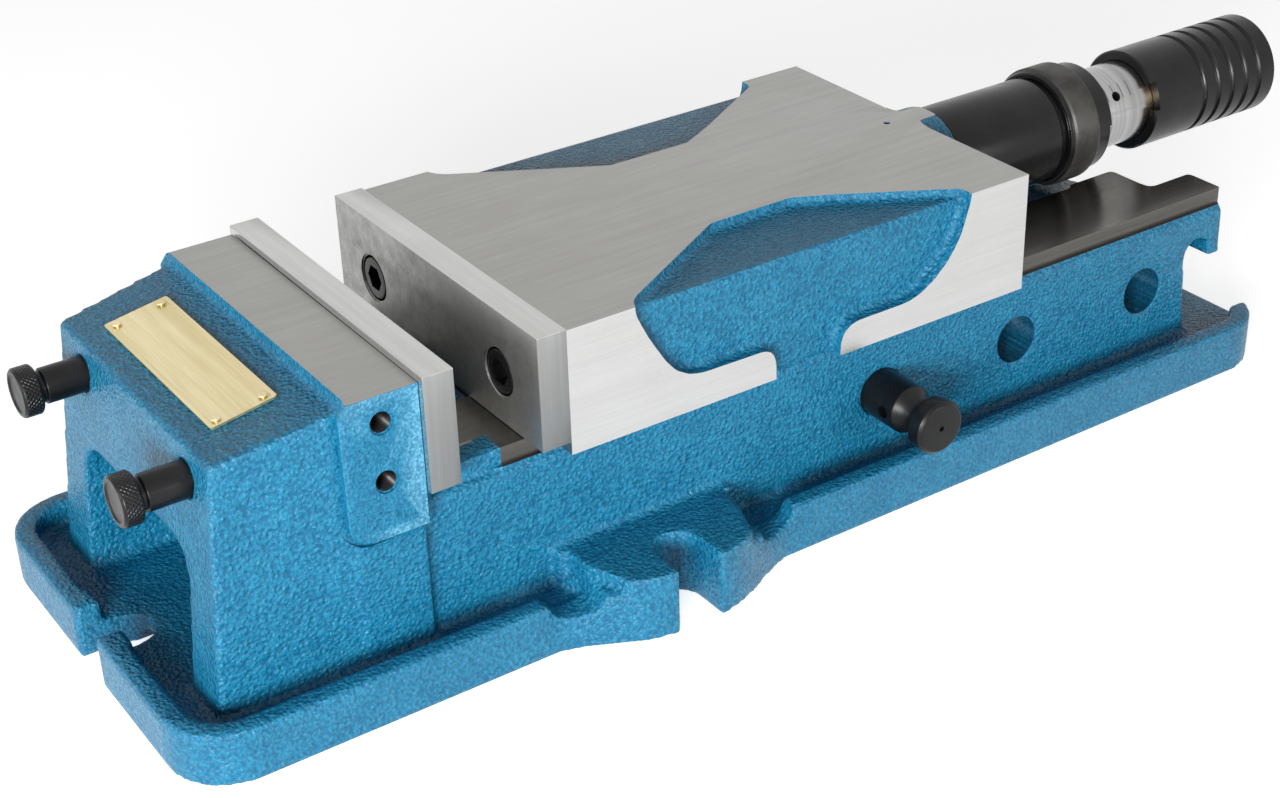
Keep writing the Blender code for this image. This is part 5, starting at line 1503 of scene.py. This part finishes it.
@dataclass
class HydraulicSpindle:
    """The outer pieces of the spindle: tube, claw collar and scale sleeve."""

    tube_r: float = 0.0247
    tube_bore: float = 0.019
    tube_front: float = 0.2921
    tube_rear: float = 0.3715
    neck_depth: float = 0.0009
    collar_front: float = 0.3565
    collar_r: float = 0.028
    collar_bore: float = 0.0250
    collar_rear: float = 0.3745
    claw_rear: float = 0.3838
    claw_r: float = 0.0255
    claw_bore: float = 0.0198
    notch_depth: float = 0.0018
    sleeve_r: float = 0.0195
    sleeve_bore: float = 0.0143
    sleeve_rear: float = 0.424
    hole_x: float = 0.3944
    hole_angle: float = 36.6
    hole_r: float = 0.0024

    def tube(self, finishes: Finishes) -> None:
        """Builds the cylinder tube with the neck before its collar."""
        neck = self.collar_front - 0.004
        neck_r = self.tube_r - self.neck_depth
        profile = softened(
            [
                (self.tube_front, self.tube_bore),
                (self.tube_front, self.tube_r - 0.0008),
                (self.tube_front + 0.0008, self.tube_r),
                (neck, self.tube_r),
                (neck + 0.0011, neck_r),
                (self.collar_front + 0.001, neck_r),
                (self.collar_front + 0.001, self.tube_r),
                (self.tube_rear, self.tube_r),
                (self.tube_rear, self.tube_bore),
            ],
            0.0003,
        )
        tube = turned("cylinder_tube_turned", profile)
        smooth_by_angle(tube)
        place(tube, "spindle", "blackened_steel", finishes.black, ["cylinder_tube"])

    def collar(self, finishes: Finishes) -> None:
        """Builds the claw collar, its rear ring stepped back on the lower near side."""
        profile = softened(
            [
                (self.collar_front, self.collar_bore),
                (self.collar_front, 0.0262),
                (self.collar_front + 0.0012, 0.0268),
                (self.collar_front + 0.0018, 0.0268),
                (self.collar_front + 0.003, self.collar_r),
                (self.collar_rear - 0.002, self.collar_r),
                (self.collar_rear, self.collar_r - 0.0015),
                (self.collar_rear, self.claw_r),
                (self.claw_rear - 0.0008, self.claw_r),
                (self.claw_rear, self.claw_r - 0.0008),
                (self.claw_rear, self.claw_bore),
                (self.tube_rear + 0.0003, self.claw_bore),
                (self.tube_rear + 0.0003, self.collar_bore),
            ],
            0.0003,
        )
        collar = turned("claw_collar_turned", profile)
        carve(collar, [wedge(self.claw_rear - self.notch_depth, self.claw_rear + 0.005, -62.0, 7.5)])
        smooth_by_angle(collar)
        dress(collar, finishes.collar, finishes.black)
        for polygon in collar.data.polygons:
            band = self.collar_front + 0.002 < polygon.center.x < self.collar_rear
            polygon.material_index = 0 if band else 1
        place(collar, "spindle", "blackened_steel", None, ["claw_collar"])

    def sleeve(self, finishes: Finishes) -> None:
        """Builds the bright sleeve with its small hole."""
        front = self.tube_rear + 0.0006
        profile: Profile = [
            (front, self.sleeve_bore),
            (front, self.sleeve_r),
            (self.sleeve_rear - 0.0008, self.sleeve_r),
            (self.sleeve_rear, self.sleeve_r - 0.0008),
            (self.sleeve_rear, self.sleeve_bore),
        ]
        sleeve = turned("scale_sleeve_turned", softened(profile, 0.0002))
        dress(sleeve, finishes.sleeve, finishes.black)
        angle = math.radians(self.hole_angle)
        for radius, depth in ((self.hole_r * 0.72, 0.0070), (self.hole_r, 0.0024)):
            drill = rod("cut", (0.0, 0.0, 0.0), radius, depth, Axis.Y, 32)
            beside, up = self.sleeve_r * math.cos(angle), self.sleeve_r * math.sin(angle)
            spot = Matrix.Translation((self.hole_x, -beside, AXIS_Z + up))
            drill.matrix_world = spot @ Matrix.Rotation(-angle, 4, "X")
            carve(sleeve, [settle(drill)], Skin.MACHINED)
        smooth_by_angle(sleeve, 25)
        place(sleeve, "spindle", "ground_steel", None, ["scale_sleeve"])

    def build(self, finishes: Finishes) -> None:
        """Builds the three pieces."""
        self.tube(finishes)
        self.collar(finishes)
        self.sleeve(finishes)


@dataclass
class Grip:
    """The black grip with its claw window and grip grooves, and the drive plug in its end."""

    front: float = 0.4135
    rear: float = 0.496
    radius: float = 0.0241
    bore: float = 0.0198
    window: Pair = (5.0, 38.0)
    window_depth: float = 0.0027
    groove_first: float = 0.4465
    groove_pitch: float = 0.0094
    grooves: int = 5
    groove_depth: float = 0.0016
    groove_half: float = 0.0017
    plug_length: float = 0.022
    plug_r: float = 0.0195
    socket_r: float = 0.00808

    def shell(self, finishes: Finishes) -> None:
        """Builds the grip's shell."""
        front, rear, radius = self.front, self.rear, self.radius
        profile: Profile = [(front, self.bore), (front, radius - 0.0008), (front + 0.0008, radius)]
        for k in range(self.grooves):
            centre = self.groove_first + k * self.groove_pitch
            for step in range(9):
                share = step / 8
                dip = self.groove_depth * math.sin(math.pi * share) ** 0.7
                profile.append((centre + self.groove_half * (2 * share - 1), radius - dip))
        profile += [(rear - 0.0014, radius), (rear, radius - 0.0014), (rear, self.bore)]
        shell = turned("grip_turned", profile)
        carve(shell, [wedge(front - 0.005, front + self.window_depth, *self.window)])
        smooth_by_angle(shell, 28)
        place(shell, "grip", "blackened_steel", finishes.black, ["grip"])

    def plug(self, finishes: Finishes) -> None:
        """Builds the drive plug with its hexagon socket."""
        front, rear, radius = self.rear - self.plug_length, self.rear - 0.001, self.plug_r
        outline = [(front, 0.0), (front, radius), (rear - 0.001, radius), (rear, radius - 0.001), (rear, 0.0)]
        plug = turned("drive_plug_turned", softened(outline, 0.0004))
        carve(plug, [rod("cut", (rear - 0.002, 0.0, AXIS_Z), self.socket_r, 0.024, Axis.X, 6)])
        smooth_by_angle(plug)
        place(plug, "grip", "blackened_steel", finishes.black, ["drive_plug"])

    def build(self, finishes: Finishes) -> None:
        """Builds the shell and the plug."""
        self.shell(finishes)
        self.plug(finishes)


@dataclass(frozen=True)
class Lamp:
    """One soft lamp: where it hangs, where it points, its size and its power in watts."""

    name: str
    spot: Point
    aim: Point
    size: Pair
    power: float

    def hang(self) -> None:
        """Hangs the lamp."""
        data = bpy.data.lights.new(self.name, "AREA")
        data.shape = "RECTANGLE"
        data.size, data.size_y = self.size
        data.energy = self.power
        obj = bpy.data.objects.new(self.name, data)
        bpy.context.scene.collection.objects.link(obj)
        obj.location = self.spot
        obj.rotation_euler = (Vector(self.aim) - Vector(self.spot)).to_track_quat("-Z", "Y").to_euler()


@dataclass
class Studio:
    """A pale floor, soft lamps and the camera."""

    azimuth: float = -33.42
    elevation: float = 29.77
    roll: float = -1.80
    focal_px: float = 2171.0
    width_px: float = 1280.0
    spot: Point = (-0.3188, -0.6834, 0.5014)
    lamps: tuple[Lamp, ...] = (
        Lamp("key", (-1.12, -1.22, 0.40), (0.14, 0.0, 0.07), (0.8, 0.5), 41.0),
        Lamp("left", (-1.5, 0.05, 0.40), (0.0, 0.0, 0.08), (0.6, 0.5), 5.0),
        Lamp("fill", (0.75, -1.45, 0.40), (0.25, 0.0, 0.06), (0.9, 0.5), 7.0),
    )
    paper: tuple[Colour, Colour] = ((0.90, 0.90, 0.90), (0.92, 0.92, 0.92))
    paper_glow: float = 0.74
    room_glow: float = 0.09

    def camera(self) -> None:
        """Sets the camera at the photograph's angle."""
        a, e, r = (math.radians(value) for value in (self.azimuth, self.elevation, self.roll))
        back = Vector((math.sin(a) * math.cos(e), -math.cos(a) * math.cos(e), math.sin(e)))
        right = (-back).cross(Vector((0, 0, 1))).normalized()
        up = right.cross(-back)
        right_r = right * math.cos(r) + up * math.sin(r)
        up_r = up * math.cos(r) - right * math.sin(r)
        data = bpy.data.cameras.new("camera")
        data.sensor_fit = "HORIZONTAL"
        data.sensor_width = 36.0
        data.lens = self.focal_px / self.width_px * data.sensor_width
        data.clip_start = 0.01
        obj = bpy.data.objects.new("camera", data)
        bpy.context.scene.collection.objects.link(obj)
        turn = Matrix((right_r, up_r, back)).transposed().to_4x4()
        obj.matrix_world = Matrix.Translation(self.spot) @ turn
        bpy.context.scene.camera = obj

    def seen(self, graph: Graph) -> bpy.types.NodeSocket:
        """One for the rays that show the background, zero for those that light the object."""
        rays = graph.node("ShaderNodeLightPath")
        seen = graph.math("MAXIMUM", rays.outputs["Is Camera Ray"], rays.outputs["Is Transmission Ray"])
        return graph.math("MAXIMUM", seen, rays.outputs["Is Glossy Ray"])

    def floor(self) -> None:
        """Lays the floor."""
        deselect()
        bpy.ops.mesh.primitive_plane_add(size=8.0, location=(0.15, 0.0, -0.0004))
        obj = bpy.context.object
        obj.name = "studio_floor"
        material, graph, shader, where = start_material("studio_floor_paper")
        graph.feed(shader, "Base Color", graph.shades(graph.noise(where, 6.0, 2.0), *self.paper))
        shader.inputs["Roughness"].default_value = 0.9
        shader.inputs["Specular IOR Level"].default_value = 0.0
        shader.inputs["Emission Color"].default_value = (1.0, 1.0, 1.0, 1.0)
        graph.feed(shader, "Emission Strength", graph.remap(self.seen(graph), UNIT, (0.0, self.paper_glow)))
        obj.data.materials.append(material)

    def world(self) -> None:
        """Lights the room evenly and shows it white to the camera."""
        world = bpy.data.worlds.new("room")
        bpy.context.scene.world = world
        world.use_nodes = True
        graph = Graph(world.node_tree)
        back = graph.node("ShaderNodeBackground", Color=(1.0, 1.0, 1.0, 1.0))
        graph.feed(back, "Strength", graph.remap(self.seen(graph), UNIT, (self.room_glow, 1.0)))
        out = graph.node("ShaderNodeOutputWorld")
        world.node_tree.links.new(back.outputs[0], out.inputs[0])

    def build(self) -> None:
        """Builds the studio."""
        self.camera()
        self.floor()
        self.world()
        for lamp in self.lamps:
            lamp.hang()
        bpy.context.scene.view_settings.view_transform = "Standard"


def main() -> None:
    """Builds the studio, then each sub-assembly in order."""
    logging.basicConfig(level=logging.INFO, format="%(name)s %(message)s")
    Studio().build()
    finishes = Finishes()
    finishes.dress_hidden_solids()
    BedCasting().build(finishes)
    SlideCasting().build(finishes)
    JawPlate("bed", "fixed", 0.0, -1).build(finishes)
    JawPlate("slide", "movable", 0.035, 1).build(finishes)
    NamePlate().build(finishes)
    FrontPin("front_pin_near", -1).build(finishes)
    FrontPin("front_pin_far", 1).build(finishes)
    PositionPin().build(finishes)
    HydraulicSpindle().build(finishes)
    Grip().build(finishes)


if __name__ == "__main__":
    main()
